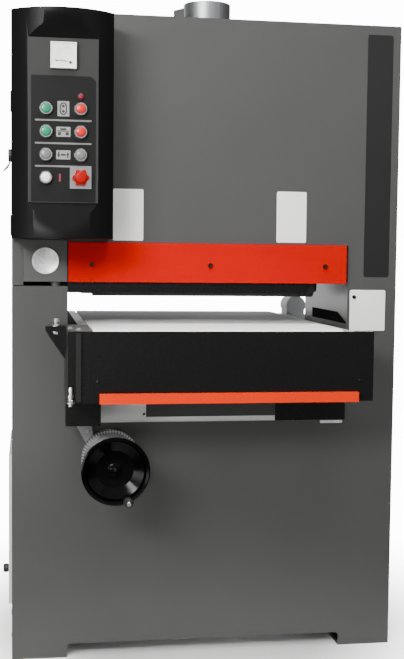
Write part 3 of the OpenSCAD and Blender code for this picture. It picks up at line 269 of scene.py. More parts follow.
# Etched dial face: a flat grey that dark lines stand out from
DIAL_FACE = Finish("grey_etched_dial_face", "#525252", "#484848", 0.45, Grain.MOULDED, 1.5, 0.01)
# Peened aluminium: hammered flats that catch the light unevenly; also the bright clips, partly painted highlights
PEENED_ALLOY_AND_HIGHLIGHT = Finish("peened_aluminium_and_painted_highlight", "#eeeeed", "#c2c2c1", 0.4, Grain.CAST, 7.0, 0.12, 0.45, cloud_mm=30.0)
# Die cast aluminium: pale and matt, faintly pebbled
GEARBOX_ALLOY = Finish("die_cast_aluminium", "#e9ebed", "#d6d8da", 0.5, Grain.CAST, 3.0, 0.12, 0.2)
# Paint on sand castings: it follows a pebbled skin
CAST_PAINT = Finish("painted_cast_iron", "#56626a", "#46525a", 0.5, Grain.CAST, 4.0, 0.2)
MOTOR_PAINT = Finish("blue_grey_motor_enamel", "#46535c", "#3a464f", 0.45, Grain.CAST, 5.0, 0.15)
BLOCK_IRON = Finish("grey_painted_cast_block", "#434342", "#3d3d3c", 0.46, Grain.CAST, 3.0, 0.08)
POINTER_GREY = Finish("grey_painted_pointer_casting", "#868786", "#737473", 0.4, Grain.CAST, 2.5, 0.06)
# Bare skin of a casting: dark grey in small patches
PLATE_IRON = Finish("grey_cast_iron_skin", "#4a4b4a", "#363736", 0.5, Grain.CAST, 5.0, 0.15, cloud_mm=25.0)
# Thermoformed ABS: smooth, with soft highlights along the bow
HOUSING_ABS = Finish("black_thermoformed_abs", "#0f0f0f", "#0c0c0c", 0.36, Grain.MOULDED, 1.2, 0.02, ior=1.16)
# Moulded rubber: black and dull; the seals hardly shine at all, and the passage's wall strip is partly painted shade
SEAL_RUBBER_AND_SHADE = Finish("black_seal_rubber_and_painted_shade", "#0c0c0c", "#080808", 0.9, Grain.MOULDED, 2.0, 0.05, ior=1.1)
ROLLER_RUBBER = Finish("black_nitrile_cover", "#222222", "#181818", 0.68, Grain.MOULDED, 3.0, 0.06)
DRIVE_RUBBER = Finish("black_belt_rubber", "#242424", "#161616", 0.74, Grain.MOULDED, 2.0, 0.08)
# Coated conveyor belting: a matt skin that shows the weave of its backing. The real threads are about 1 mm
# wide and are drawn at 6 mm so that they show.
FEED_BELTING = Finish("white_conveyor_belting", "#f4f4f2", "#ebebe9", 0.85, Grain.WOVEN, 6.0, 0.12, ior=1.2)
# Aluminium oxide on cloth: brown, rough and without gloss. The real grit is under 0.5 mm and is drawn at 3 mm.
ABRASIVE = Finish("aluminium_oxide_abrasive", "#6d4a36", "#3c2a20", 0.85, Grain.GRIT, 3.0, 0.5)
# Polyester and vinyl films: smoother and flatter than the paint round them
OVERLAY_FILM = Finish("dark_polyester_overlay", "#181918", "#141514", 0.42, Grain.MOULDED, 1.5, 0.01, ior=1.2)
WHITE_PLATE = Finish("white_vinyl_plate", "#f1f1ef", "#eaeae8", 0.45, Grain.MOULDED, 2.0, 0.01)
STRIPE_FILM = Finish("charcoal_vinyl_film", "#0e0e0f", "#0b0b0c", 0.4, Grain.MOULDED, 2.0, 0.01)
# Screen print: thin, matt and even
WHITE_INK = Finish("white_print_ink", "#868684", "#7a7a78", 0.6, Grain.MOULDED, 1.5, 0.01)
PALE_INK = Finish("pale_grey_print_ink", "#6c6c6a", "#626260", 0.6, Grain.MOULDED, 1.5, 0.01)
# the dark ink also fills the dial's notches as painted shade
DARK_INK_AND_SHADE = Finish("dark_print_ink_and_notch_shade", "#262624", "#1e1e1c", 0.6, Grain.MOULDED, 1.5, 0.01)
RED_INK = Finish("red_print_ink", "#7e1a24", "#72161f", 0.55, Grain.MOULDED, 1.5, 0.01)
# Acrylic front over a white card: a bright face under a sharp gloss
METER_CARD = Finish("white_acrylic_meter_front", "#f6f6f4", "#eeeeec", 0.22, Grain.MOULDED, 3.0, 0.01, ior=1.49,
                    coat=0.4)
# Moulded acetal: a little waxy, with one soft highlight on each cap
GREEN_CAP = Finish("green_acetal_cap", "#04815a", "#02724e", 0.3, Grain.MOULDED, 1.5, 0.02, coat=0.1)
RED_CAP = Finish("red_acetal_cap", "#c0140e", "#ae100a", 0.3, Grain.MOULDED, 1.5, 0.02, coat=0.2)
GREY_CAP = Finish("grey_acetal_cap", "#6c6c6a", "#5e5e5c", 0.32, Grain.MOULDED, 1.5, 0.02, coat=0.2)
WHITE_CAP = Finish("white_acetal_cap", "#f6f6f4", "#e8e8e6", 0.3, Grain.MOULDED, 1.5, 0.02, coat=0.2)
# Moulded polyamide: a full red without a hard highlight
STOP_RED = Finish("red_polyamide_knob", "#9a0602", "#860401", 0.34, Grain.MOULDED, 1.5, 0.02, ior=1.25)
# Polycarbonate lens of an unlit lamp: a dark red
LAMP_RED = Finish("red_lamp_lens", "#7c1a30", "#681428", 0.4, Grain.MOULDED, 2.0, 0.02, ior=1.3)
# Glass-filled nylon: black with a fine matt tooth
BLACK_NYLON = Finish("black_glass_filled_nylon", "#1a1a1a", "#121212", 0.5, Grain.MOULDED, 1.0, 0.03)
# Floor paint: pale, matt and even, so that it only takes a soft shadow
FLOOR_PAINT = Finish("pale_floor_paint", "#f4f4f3", "#f1f1f0", 0.7, grain_mm=8.0, depth_mm=0.02)

NODE_FINISH: dict[str, Finish] = {
    **dict.fromkeys(("base_front_panel", "rear_panels", "side_panels", "left_post", "head_front_panel",
                     "top_panel", "upper_door", "right_column", "hinge_pins"), CABINET_COAT),
    **dict.fromkeys(("front_left_sprocket", "front_right_sprocket", "rear_left_sprocket",
                     "rear_right_sprocket", "lift_chain", "motor_pulley", "drive_roller", "idle_roller"),
                    OILED_STEEL),
    **dict.fromkeys(("head_beam", "table_frame"), FRAME_COAT),
    **dict.fromkeys(("drum_bearings", "tension_yoke", "feed_bearings", "lift_gearbox"), CAST_PAINT),
    **dict.fromkeys(("contact_drum", "infeed_roller", "outfeed_roller"), ROLLER_RUBBER),
    **dict.fromkeys(("base_skids", "pressure_beams", "front_cover", "table_bracket"), BLACK_ENAMEL_AND_SHADE),
    **dict.fromkeys(("sander_start_button", "feed_start_button"), GREEN_CAP),
    **dict.fromkeys(("sander_stop_button", "feed_stop_button"), RED_CAP),
    **dict.fromkeys(("table_up_button", "table_down_button"), GREY_CAP),
    **dict.fromkeys(("upper_latch", "lower_latch", "handwheel_knob"), BLACK_NYLON),
    **dict.fromkeys(("lead_screws", "idler_drum"), BRIGHT_STEEL),
    "dust_port": ZINC_SHEET, "guard_bar": GUARD_ENAMEL, "abrasive_belt": ABRASIVE,
    "main_motor": MOTOR_PAINT, "v_belts": DRIVE_RUBBER, "control_housing": HOUSING_ABS,
    "control_panel": PANEL_COAT, "ammeter": METER_CARD, "button_bezels": BEZEL_CHROME, "lock_block": BLOCK_IRON,
    "feed_belt": FEED_BELTING, "feed_gearmotor": GEARBOX_ALLOY, "knee_bar": KNEE_ENAMEL,
    "handwheel": WHEEL_ENAMEL, "wheel_shaft": DIAL_STEEL, "power_button": WHITE_CAP, "estop_head": STOP_RED,
    "lower_door": DOOR_COAT, "base_crossbeams": LIT_FRAME_COAT,
}
# Width in millimetres of the rounded edge that folding, casting or moulding leaves
NODE_EDGE: dict[str, float] = {
    "control_housing": 3.0, "lock_block": 2.5, "table_bracket": 2.0, "knee_bar": 2.0, "front_cover": 1.2,
    "guard_bar": 1.5, "estop_head": 1.5, "ammeter": 1.0, "feed_gearmotor": 3.0, "main_motor": 1.0,
    "head_beam": 2.0, "lower_door": 1.2, "upper_latch": 1.0,
}


def add_piece(name: str, mesh: bpy.types.Mesh, finish: Finish, body: str) -> None:
    """Puts a piece into the scene on the body that carries it, shaded smooth but for its sharp edges.

    Args:
        name: the piece's name.
        mesh: its mesh, in place in the part's frame.
        finish: its finish.
        body: the moving body that it rides on.
    """
    mesh.name = name
    mesh.polygons.foreach_set("use_smooth", [True] * len(mesh.polygons))
    mesh.set_sharp_from_angle(angle=math.radians(SHARP_DEGREES))
    mesh.materials.append(finish.material())
    piece = bpy.data.objects.new(name, mesh)
    bpy.context.scene.collection.objects.link(piece)
    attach(piece, body)
    LOG.info("piece %s on %s: %s", name, body, finish.name)


def to_mesh(shape: bmesh.types.BMesh, name: str) -> bpy.types.Mesh:
    """Turns an edited shape into a mesh and frees it.

    Args:
        shape: the shape, which can't be used afterwards.
        name: the mesh's name.

    Returns:
        The new mesh.
    """
    mesh = bpy.data.meshes.new(name)
    shape.to_mesh(mesh)
    shape.free()
    return mesh


def flat_shape(loops: Sequence[Outline], front: float, thick: float) -> bpy.types.Mesh:
    """Makes a thin plate that faces the operator, with holes where loops lie inside others.

    Args:
        loops: outlines in X and Z, in metres.
        front: the Y of the plate's front.
        thick: the plate's thickness.

    Returns:
        The plate's mesh, closed.
    """
    curve = bpy.data.curves.new("outline", "CURVE")
    curve.dimensions = "2D"
    curve.fill_mode = "BOTH"
    curve.extrude = thick / 2
    for loop in loops:
        spline = curve.splines.new("POLY")
        spline.points.add(len(loop) - 1)
        for point, (x, z) in zip(spline.points, loop):
            point.co = (x, z, 0, 1)
        spline.use_cyclic_u = True
    holder = bpy.data.objects.new("outline", curve)
    mesh = bpy.data.meshes.new_from_object(holder)
    mesh.transform(Matrix.Translation((0, front + thick / 2, 0)) @ Matrix.Rotation(math.pi / 2, 4, "X"))
    bpy.data.objects.remove(holder)
    bpy.data.curves.remove(curve)
    # the curve gives its faces and its rim apart, so they are joined here
    shape = bmesh.new()
    shape.from_mesh(mesh)
    bmesh.ops.remove_doubles(shape, verts=shape.verts, dist=WELD)
    bmesh.ops.recalc_face_normals(shape, faces=shape.faces)
    shape.to_mesh(mesh)
    shape.free()
    return mesh


def ring(x: float, z: float, r: float, steps: int = ROUND_STEPS) -> list[Point]:
    """Returns a circle's outline about a point."""
    return [(x + r * math.cos(a), z + r * math.sin(a)) for a in (2 * math.pi * i / steps for i in range(steps))]


def arc(x: float, z: float, r: float, first: int, last: int) -> list[Point]:
    """Returns the points of an arc about a point, from one angle to another in degrees."""
    angles = [math.radians(a) for a in range(first, last + 1, CORNER_STEP)]
    return [(x + r * math.cos(a), z + r * math.sin(a)) for a in angles]


def plate_loop(x0: float, x1: float, z0: float, z1: float, r: float) -> list[Point]:
    """Returns the outline of a rectangle with round corners of radius r."""
    corners = ((x1 - r, z1 - r, 0), (x0 + r, z1 - r, 90), (x0 + r, z0 + r, 180), (x1 - r, z0 + r, 270))
    return [point for x, z, first in corners for point in arc(x, z, r, first, first + 90)]


def lathe(profile: Outline, steps: int = ROUND_STEPS) -> bpy.types.Mesh:
    """Turns a profile about the local Z axis.

    Args:
        profile: radius and height pairs from the bottom's middle to the top's middle.
        steps: the number of facets round the axis.

    Returns:
        A closed mesh.
    """
    shape = bmesh.new()
    angles = [2 * math.pi * i / steps for i in range(steps)]
    rows = [[shape.verts.new((r * math.cos(a), r * math.sin(a), h)) for a in (angles if r else angles[:1])]
            for r, h in profile]
    for low, high in zip(rows, rows[1:]):
        for i in range(steps):
            j = (i + 1) % steps
            around = [low[i % len(low)], low[j % len(low)], high[j % len(high)], high[i % len(high)]]
            shape.faces.new(list(dict.fromkeys(around)))
    return to_mesh(shape, "turned")


def gather(parts: Sequence[tuple[bpy.types.Mesh, Matrix]]) -> bpy.types.Mesh:
    """Joins placed copies of meshes into one mesh.

    Args:
        parts: meshes with the matrix that places each copy.

    Returns:
        The joined mesh.
    """
    shape = bmesh.new()
    for mesh, place in parts:
        copy = mesh.copy()
        copy.transform(place)
        shape.from_mesh(copy)
        bpy.data.meshes.remove(copy)
    return to_mesh(shape, "gathered")


def facing(at: Vector, axis: Vector) -> Matrix:
    """Returns the matrix that turns local Z to an axis and moves it to a point."""
    return Matrix.Translation(at) @ UP.rotation_difference(axis).to_matrix().to_4x4()


def turned(profile: Outline, at: Vector, steps: int = ROUND_STEPS) -> bpy.types.Mesh:
    """Returns a profile turned about an axis that points at the operator from a point."""
    return gather([(lathe(profile, steps), facing(at, FRONT))])


class Head(Enum):
    """Kinds of screw head."""

    SOCKET = "socket cap"
    HEX = "hexagon"
    PAN = "pan"


# Profiles of the heads, and of the washer under a hexagon, in shares of the head's radius and height
HEAD_SHAPE: dict[Head, Outline] = {
    Head.SOCKET: ((0, 0), (1, 0), (1, 0.85), (0.9, 1), (0.55, 1), (0.5, 0.45), (0, 0.4)),
    Head.PAN: ((0, 0), (1, 0), (1, 0.3), (0.85, 0.75), (0.5, 0.97), (0, 1)),
    Head.HEX: ((0, 0.2), (1, 0.2), (1, 0.9), (0.88, 1), (0, 1)),
}
WASHER_SHAPE: Outline = ((0, 0), (1.25, 0), (1.25, 0.2), (0, 0.2))


@dataclass(frozen=True)
class Screw:
    """One size of screw; its head stands on local Z zero."""

    head: Head
    r_mm: float
    h_mm: float

    def _turn(self, shape: Outline, steps: int) -> bpy.types.Mesh:
        """Returns a profile turned at the screw's size."""
        radius, height = self.r_mm * MM, self.h_mm * MM
        return lathe([(r * radius, h * height) for r, h in shape], steps)

    def mesh(self) -> bpy.types.Mesh:
        """Makes the head with its socket or dome, or its chamfer and washer.

        Returns:
            The head's mesh.
        """
        if self.head is not Head.HEX:
            return self._turn(HEAD_SHAPE[self.head], SCREW_STEPS)
        washer = self._turn(WASHER_SHAPE, SCREW_STEPS)
        return gather([(washer, Matrix()), (self._turn(HEAD_SHAPE[self.head], HEX_STEPS), Matrix())])

    def at(self, places: Sequence[Place]) -> bpy.types.Mesh:
        """Returns one mesh with a head at each place and along each axis."""
        base = self.mesh()
        return gather([(base, facing(p, a)) for p, a in places])


@dataclass
class Solids:
    """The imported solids: their finishes, and the edges that folding, casting or moulding rounds."""

    join: float = 0.00002
    flat_degrees: float = 0.3
    edge_degrees: float = 30.0
    edge_steps: int = 3
    even_weight: int = 80

    def build(self) -> None:
        """Gives each solid its finish and its edges."""
        for name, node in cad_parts.items():
            finish = NODE_FINISH[name]
            node.data.materials.clear()
            node.data.materials.append(finish.material())
            if name in NODE_EDGE:
                self._round_edges(node, NODE_EDGE[name] * MM)
            LOG.info("solid %s: %s", name, finish.name)

    def _round_edges(self, node: bpy.types.Object, width: float) -> None:
        """Rounds a solid's edges by modifiers, which leave its mesh as it was packed.

        Args:
            node: the solid's object.
            width: the width of the rounded edge.
        """
        flat, sharp = math.radians(self.flat_degrees), math.radians(self.edge_degrees)
        for name, kind, settings in (
                ("joined_corners", "WELD", {"merge_threshold": self.join}),
                ("whole_faces", "DECIMATE", {"decimate_type": "DISSOLVE", "angle_limit": flat}),
                ("soft_edges", "BEVEL", {"width": width, "segments": self.edge_steps, "limit_method": "ANGLE",
                                         "angle_limit": sharp}),
                ("even_shading", "WEIGHTED_NORMAL", {"weight": self.even_weight})):
            modifier = node.modifiers.new(name, kind)
            for key, value in settings.items():
                setattr(modifier, key, value)


@dataclass
class Cabinet:
    """Bare plates, film, fasteners, thin trim and painted-shade sheets of the cabinet."""

    # plates and the column's film: left, right, bottom and top
    plates: tuple[Box, ...] = (
        (-0.248, -0.171, 1.0725, 1.2025), (0.175, 0.2535, 1.0725, 1.2035), (0.3745, 0.471, 0.8435, 0.951))
    plate_r: float = 0.004
    plate_t: float = 0.0008
    plate_screw: Screw = Screw(Head.SOCKET, 5, 4)
    plate_screw_at: Point = (0.3855, 0.9325)
    stripe: Box = (0.4105, 0.479, 0.985, 1.612)
    stripe_r: float = 0.006
    stripe_t: float = 0.0005
    # screws of the covers: heights on the sides, and heights with places across on the rear
    cover_screw: Screw = Screw(Head.PAN, 6, 3.5)
    cover_inset: float = 0.015
    right_rows: tuple[float, ...] = (0.05, 0.3, 0.56, 0.66, 1.0, 1.3, 1.585)
    left_rows: tuple[float, ...] = (0.05, 0.11, 0.56)
    rear_grids: tuple[tuple[tuple[float, ...], tuple[float, ...]], ...] = (
        ((0.06, 0.3, 0.55), (-0.48, 0.0, 0.48)), ((1.1, 1.34, 1.6), (-0.42, 0.0, 0.34)))
    # hoods over the cooling slots: a profile backwards from the panel and upwards from a slot's top
    lips: int = 7
    lip_x: Point = (0.038, 0.202)
    lip_profile: Outline = ((0, 0), (0, -0.0015), (0.007, -0.0085), (0.0078, -0.0075))
    slot_z: float = 0.2
    slot_h: float = 0.008
    slot_pitch: float = 0.02
    # casting that points at the dial's graduations, with its screw and a bright clip on top, partly a painted
    # highlight
    pointer: Outline = ((-0.339, 0.604), (-0.301, 0.618), (-0.2965, 0.578), (-0.306, 0.557), (-0.316, 0.562))
    pointer_t: float = 0.018
    pointer_highlight_clip: Outline = ((-0.337, 0.6005), (-0.299, 0.6105), (-0.2985, 0.6165), (-0.3365, 0.6085))
    pointer_screw: Screw = Screw(Head.SOCKET, 4, 3)
    pointer_screw_at: Point = (-0.311, 0.589)
    clip_t: float = 0.0015
    # two dark sheets behind the sill, charcoal then black, as painted shade over the tie bar; and the bright clip
    # under them
    guard: Box = (-0.160, 0.179, 0.6215, 0.6545)
    shade_sheet_end: Box = (0.179, 0.367, 0.609, 0.6545)
    shade_sheet_r: float = 0.001
    shade_sheet_in: float = 0.001
    shade_sheet_t: float = 0.002
    sill_highlight_clip: Box = (0.3, 0.36, 0.6, 0.6075)
    sill_highlight_clip_r: float = 0.002
    # black rubber strip on the passage's right wall, in Y and Z, tapered to the front: partly painted shade above the
    # belt
    strip: Outline = ((-0.213, 0.8615), (0.13, 0.8615), (0.13, 0.889), (-0.13, 0.889), (-0.213, 0.866))
    strip_t: float = 0.0015
    front: float = field(init=False)

    def __post_init__(self) -> None:
        """Takes the front face from the solid."""
        self.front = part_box("base_front_panel")[0].y

    def build(self) -> None:
        """Makes the plates, the film, the screws, the trim and the painted-shade sheets."""
        self._plates()
        self._cover_screws()
        self._slot_lips()
        self._dial_pointer()
        self._tie_bar_shade_sheets()
        self._wall_shade_strip()

    def _plates(self) -> None:
        """Makes the bare plates, the column's film and the lower plate's screw."""
        face = self.front - self.plate_t
        plates = flat_shape([plate_loop(*p, self.plate_r) for p in self.plates], face, self.plate_t)
        add_piece("bare_plates", plates, WHITE_PLATE, "cabinet")
        stripe = flat_shape([plate_loop(*self.stripe, self.stripe_r)], self.front - self.stripe_t, self.stripe_t)
        add_piece("column_stripe", stripe, STRIPE_FILM, "cabinet")
        x, z = self.plate_screw_at
        add_piece("plate_screw", self.plate_screw.at([(Vector((x, face, z)), FRONT)]), BLACK_OXIDE, "cabinet")

    def _cover_screws(self) -> None:
        """Fixes the side and rear covers with rows of screws."""
        low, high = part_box("side_panels")
        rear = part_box("rear_panels")[1].y
        edges = (low.y + self.cover_inset, high.y - self.cover_inset)
        places = [(Vector((high.x, y, z)), RIGHT) for z in self.right_rows for y in edges]
        places += [(Vector((x, rear, z)), REAR) for rows, across in self.rear_grids for z in rows for x in across]
        places += [(Vector((low.x, y, z)), LEFT) for z in self.left_rows for y in edges]
        add_piece("cover_screws", self.cover_screw.at(places), SCREW_STEEL, "cabinet")

    def _slot_lips(self) -> None:
        """Bends a small hood outwards over each cooling slot."""
        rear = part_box("rear_panels")[1].y
        corners = len(self.lip_profile)
        shape = bmesh.new()
        for i in range(self.lips):
            top = self.slot_z + self.slot_pitch * i + self.slot_h
            left, right = ([shape.verts.new((x, rear + y, top + z)) for y, z in self.lip_profile] for x in self.lip_x)
            shape.faces.new(left)
            shape.faces.new(right[::-1])
            for k in range(corners):
                n = (k + 1) % corners
                shape.faces.new((left[k], right[k], right[n], left[n]))
        bmesh.ops.recalc_face_normals(shape, faces=shape.faces)
        add_piece("slot_lips", to_mesh(shape, "lips"), CABINET_COAT, "cabinet")

    def _dial_pointer(self) -> None:
        """Makes the grey casting that points at the dial, its screw, and the bright clip on its top edge, partly a
        painted highlight.
        """
        face = self.front - self.pointer_t
        lug = flat_shape([self.pointer], face, self.pointer_t)
        add_piece("dial_pointer", lug, POINTER_GREY, "cabinet")
        # the bright clip stands partly for the highlight along the lug's top edge
        clip = flat_shape([self.pointer_highlight_clip], face - self.clip_t, self.clip_t)
        add_piece("pointer_highlight_clip", clip, PEENED_ALLOY_AND_HIGHLIGHT, "cabinet")
        x, z = self.pointer_screw_at
        add_piece("pointer_screw", self.pointer_screw.at([(Vector((x, face, z)), FRONT)]), SCREW_STEEL, "cabinet")

    def _tie_bar_shade_sheets(self) -> None:
        """Makes the two dark sheets behind the sill that are painted shade over the tie bar, and the sill's bright
        clip.
        """
        face = self.front + self.shade_sheet_in
        # painted shade: the charcoal sheet and the black one darken the tie bar where the table's shadow falls
        guard = flat_shape([plate_loop(*self.guard, self.shade_sheet_r)], face, self.shade_sheet_t)
        add_piece("tie_bar_shade_sheet", guard, SHADE_SHEET_CHARCOAL, "cabinet")
        end = flat_shape([plate_loop(*self.shade_sheet_end, self.shade_sheet_r)], face, self.shade_sheet_t)
        add_piece("tie_bar_shade_sheet_end", end, BLACK_ENAMEL_AND_SHADE, "cabinet")
        # the sill's clip is drawn bright partly as a painted highlight along the sill's edge
        clip = flat_shape([plate_loop(*self.sill_highlight_clip, self.sill_highlight_clip_r)], self.front - self.clip_t, self.clip_t)
        add_piece("sill_highlight_clip", clip, PEENED_ALLOY_AND_HIGHLIGHT, "cabinet")

    def _wall_shade_strip(self) -> None:
        """Makes the rubber strip on the passage's right wall, just above the belt; its tapered black is partly painted
        shade.
        """
        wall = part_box("right_column")[0].x
        strip = flat_shape([self.strip], 0, self.strip_t)
        strip.transform(Matrix.Translation((wall, 0, 0)) @ Matrix.Rotation(math.pi / 2, 4, "Z"))
        add_piece("wall_shade_strip", strip, SEAL_RUBBER_AND_SHADE, "cabinet")


@dataclass
class ControlStation:
    """Overlay, print and pilot lamp of the control panel."""

    # middle of the panel, heights of the button rows, and how far the two columns stand from the middle
    mid_x: float = -0.3785
    rows: tuple[float, ...] = (1.2145, 1.2677, 1.3209, 1.3741)
    column_dx: float = 0.0405
    # film: left, right, bottom and top, its cut corner, and its holes round the bezels and the stop's plate
    overlay: Box = (-0.453, -0.303, 1.1585, 1.450)
    corner_cut: float = 0.011
    bezel_r: float = 0.0162
    stop_half: float = 0.0253
    corner_r: float = 0.001
    film_t: float = 0.0005
    # print: boxes about the panel's middle at a row's height, and the halves of each picture from the top down
    ink_t: float = 0.0004
    mark_t: float = 0.0003
    mark_r: float = 0.0005
    line: Box = (-0.0655, 0.0655, -0.0288, -0.0248)
    power_bar: Box = (-0.0099, -0.0055, -0.009, 0.009)
    pictures: tuple[Point, ...] = ((0.0135, 0.0175), (0.0165, 0.0115), (0.0165, 0.0105))
    picture_r: float = 0.002
    # sanding belt: radius and half distance of its ends, its drums, and how far its inside is drawn in
    belt_end_r: float = 0.0085
    belt_half: float = 0.006
    belt_drum_r: float = 0.0034
    belt_inside: Point = (0.66, 0.8)
    # feed belt: its rollers, its top run and the board on it
    feed_rollers: tuple[Point, ...] = ((-0.009, -0.0045), (0.009, -0.0045))
    feed_roller_r: float = 0.0042
    feed_plates: tuple[Box, ...] = ((-0.014, 0.014, 0.0006, 0.0028), (-0.007, 0.007, 0.0038, 0.0084))
    # table and the arrow beside it
    lift_table: Box = (-0.0055, 0.0055, -0.0022, 0.0022)
    arrow_dx: float = 0.0105
    arrow: tuple[Outline, ...] = (
        ((-0.0042, -0.001), (0.0042, -0.001), (0, 0.007)),
        ((-0.0016, -0.007), (0.0016, -0.007), (0.0016, -0.0012), (-0.0016, -0.0012)))
    # pilot lamp: its height, and radius and height pairs
    lamp_z: float = 1.4026
    collar: Outline = ((0, 0), (0.0082, 0), (0.0082, 0.0018), (0.0074, 0.0026), (0, 0.0026))
    lens: Outline = ((0, 0.002), (0.007, 0.002), (0.007, 0.004), (0.0058, 0.0062), (0.003, 0.0074), (0, 0.0078))
    face: float = field(init=False)

    def __post_init__(self) -> None:
        """Takes the film's front from the panel's solid."""
        self.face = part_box("control_panel")[0].y - self.film_t

    def build(self) -> None:
        """Makes all the pieces of the control panel."""
        self._overlay()
        self._print()
        self._lamp()

    def _overlay(self) -> None:
        """Makes the film with a cut corner and a hole round each bezel."""
        x0, x1, z0, z1 = self.overlay
        outline = [(x0, z0), (x1, z0), (x1, z1 - self.corner_cut), (x1 - self.corner_cut, z1), (x0, z1)]
        holes = [ring(self.mid_x + s * self.column_dx, z, self.bezel_r) for z in self.rows for s in (-1, 1)]
        # the stop at the right of the lowest row stands on a square plate
        holes.pop(1)
        x, z, half = self.mid_x + self.column_dx, self.rows[0], self.stop_half
        holes.append(plate_loop(x - half, x + half, z - half, z + half, self.corner_r))
        add_piece("panel_overlay", flat_shape([outline, *holes], self.face, self.film_t), OVERLAY_FILM, "cabinet")

    def _plate(self, z: float, box: Box, r: float) -> list[Point]:
        """Returns a plate's outline whose box is given about the panel's middle at a height."""
        x0, x1, z0, z1 = box
        return plate_loop(self.mid_x + x0, self.mid_x + x1, z + z0, z + z1, r)

    def _print(self) -> None:
        """Prints the dividing lines, the three pictures and the power mark."""
        power_z, lift_z, feed_z, belt_z = self.rows
        ink = self.face - self.ink_t
        lines = [self._plate(z, self.line, self.corner_r) for z in self.rows[1:]]
        pictures = [self._plate(z, (-w, w, -h, h), self.picture_r)
                    for z, (w, h) in zip((belt_z, feed_z, lift_z), self.pictures)]
        marks = self._belt_mark(belt_z) + self._feed_mark(feed_z) + self._lift_mark(lift_z)
        power = [self._plate(power_z, self.power_bar, self.corner_r)]
        for name, loops, front, thick, finish in (
                ("panel_lines", lines, ink, self.ink_t, PALE_INK),
                ("panel_pictures", pictures, ink, self.ink_t, WHITE_INK),
                ("panel_marks", marks, ink - self.mark_t, self.mark_t, DARK_INK_AND_SHADE),
                ("power_mark", power, ink, self.ink_t, RED_INK)):
            add_piece(name, flat_shape(loops, front, thick), finish, "cabinet")

    def _belt_mark(self, z: float) -> list[Outline]:
        """Draws a tall belt round two drums.

        Args:
            z: the height of the picture's middle.

        Returns:
            The mark's outlines.
        """
        x, r, up, down = self.mid_x, self.belt_end_r, z + self.belt_half, z - self.belt_half
        outer = arc(x, up, r, 0, 180) + arc(x, down, r, 180, 360)
        wide, tall = self.belt_inside
        inner = [(x + (px - x) * wide, z + (pz - z) * tall) for px, pz in outer]
        return [outer, inner, *(ring(x, at, self.belt_drum_r, DOT_STEPS) for at in (up, down))]

    def _feed_mark(self, z: float) -> list[Outline]:
        """Draws a flat belt on two rollers with a board on it.

        Args:
            z: the height of the picture's middle.

        Returns:
            The mark's outlines.
        """
        rollers = [ring(self.mid_x + dx, z + dz, self.feed_roller_r, DOT_STEPS) for dx, dz in self.feed_rollers]
        return rollers + [self._plate(z, box, self.mark_r) for box in self.feed_plates]

    def _lift_mark(self, z: float) -> list[Outline]:
        """Draws a table between an arrow down and an arrow up.

        Args:
            z: the height of the picture's middle.

        Returns:
            The mark's outlines.
        """
        marks: list[Outline] = [self._plate(z, self.lift_table, self.mark_r)]
        for s in (-1, 1):
            x = self.mid_x + s * self.arrow_dx
            marks += [[(x + dx, z + s * dz) for dx, dz in loop] for loop in self.arrow]
        return marks

    def _lamp(self) -> None:
        """Makes the pilot lamp's domed lens in its collar."""
        at = Vector((self.mid_x + self.column_dx, self.face, self.lamp_z))
        add_piece("pilot_lamp_collar", turned(self.collar, at), BLACK_NYLON, "cabinet")
        add_piece("pilot_lamp_lens", turned(self.lens, at), LAMP_RED, "cabinet")


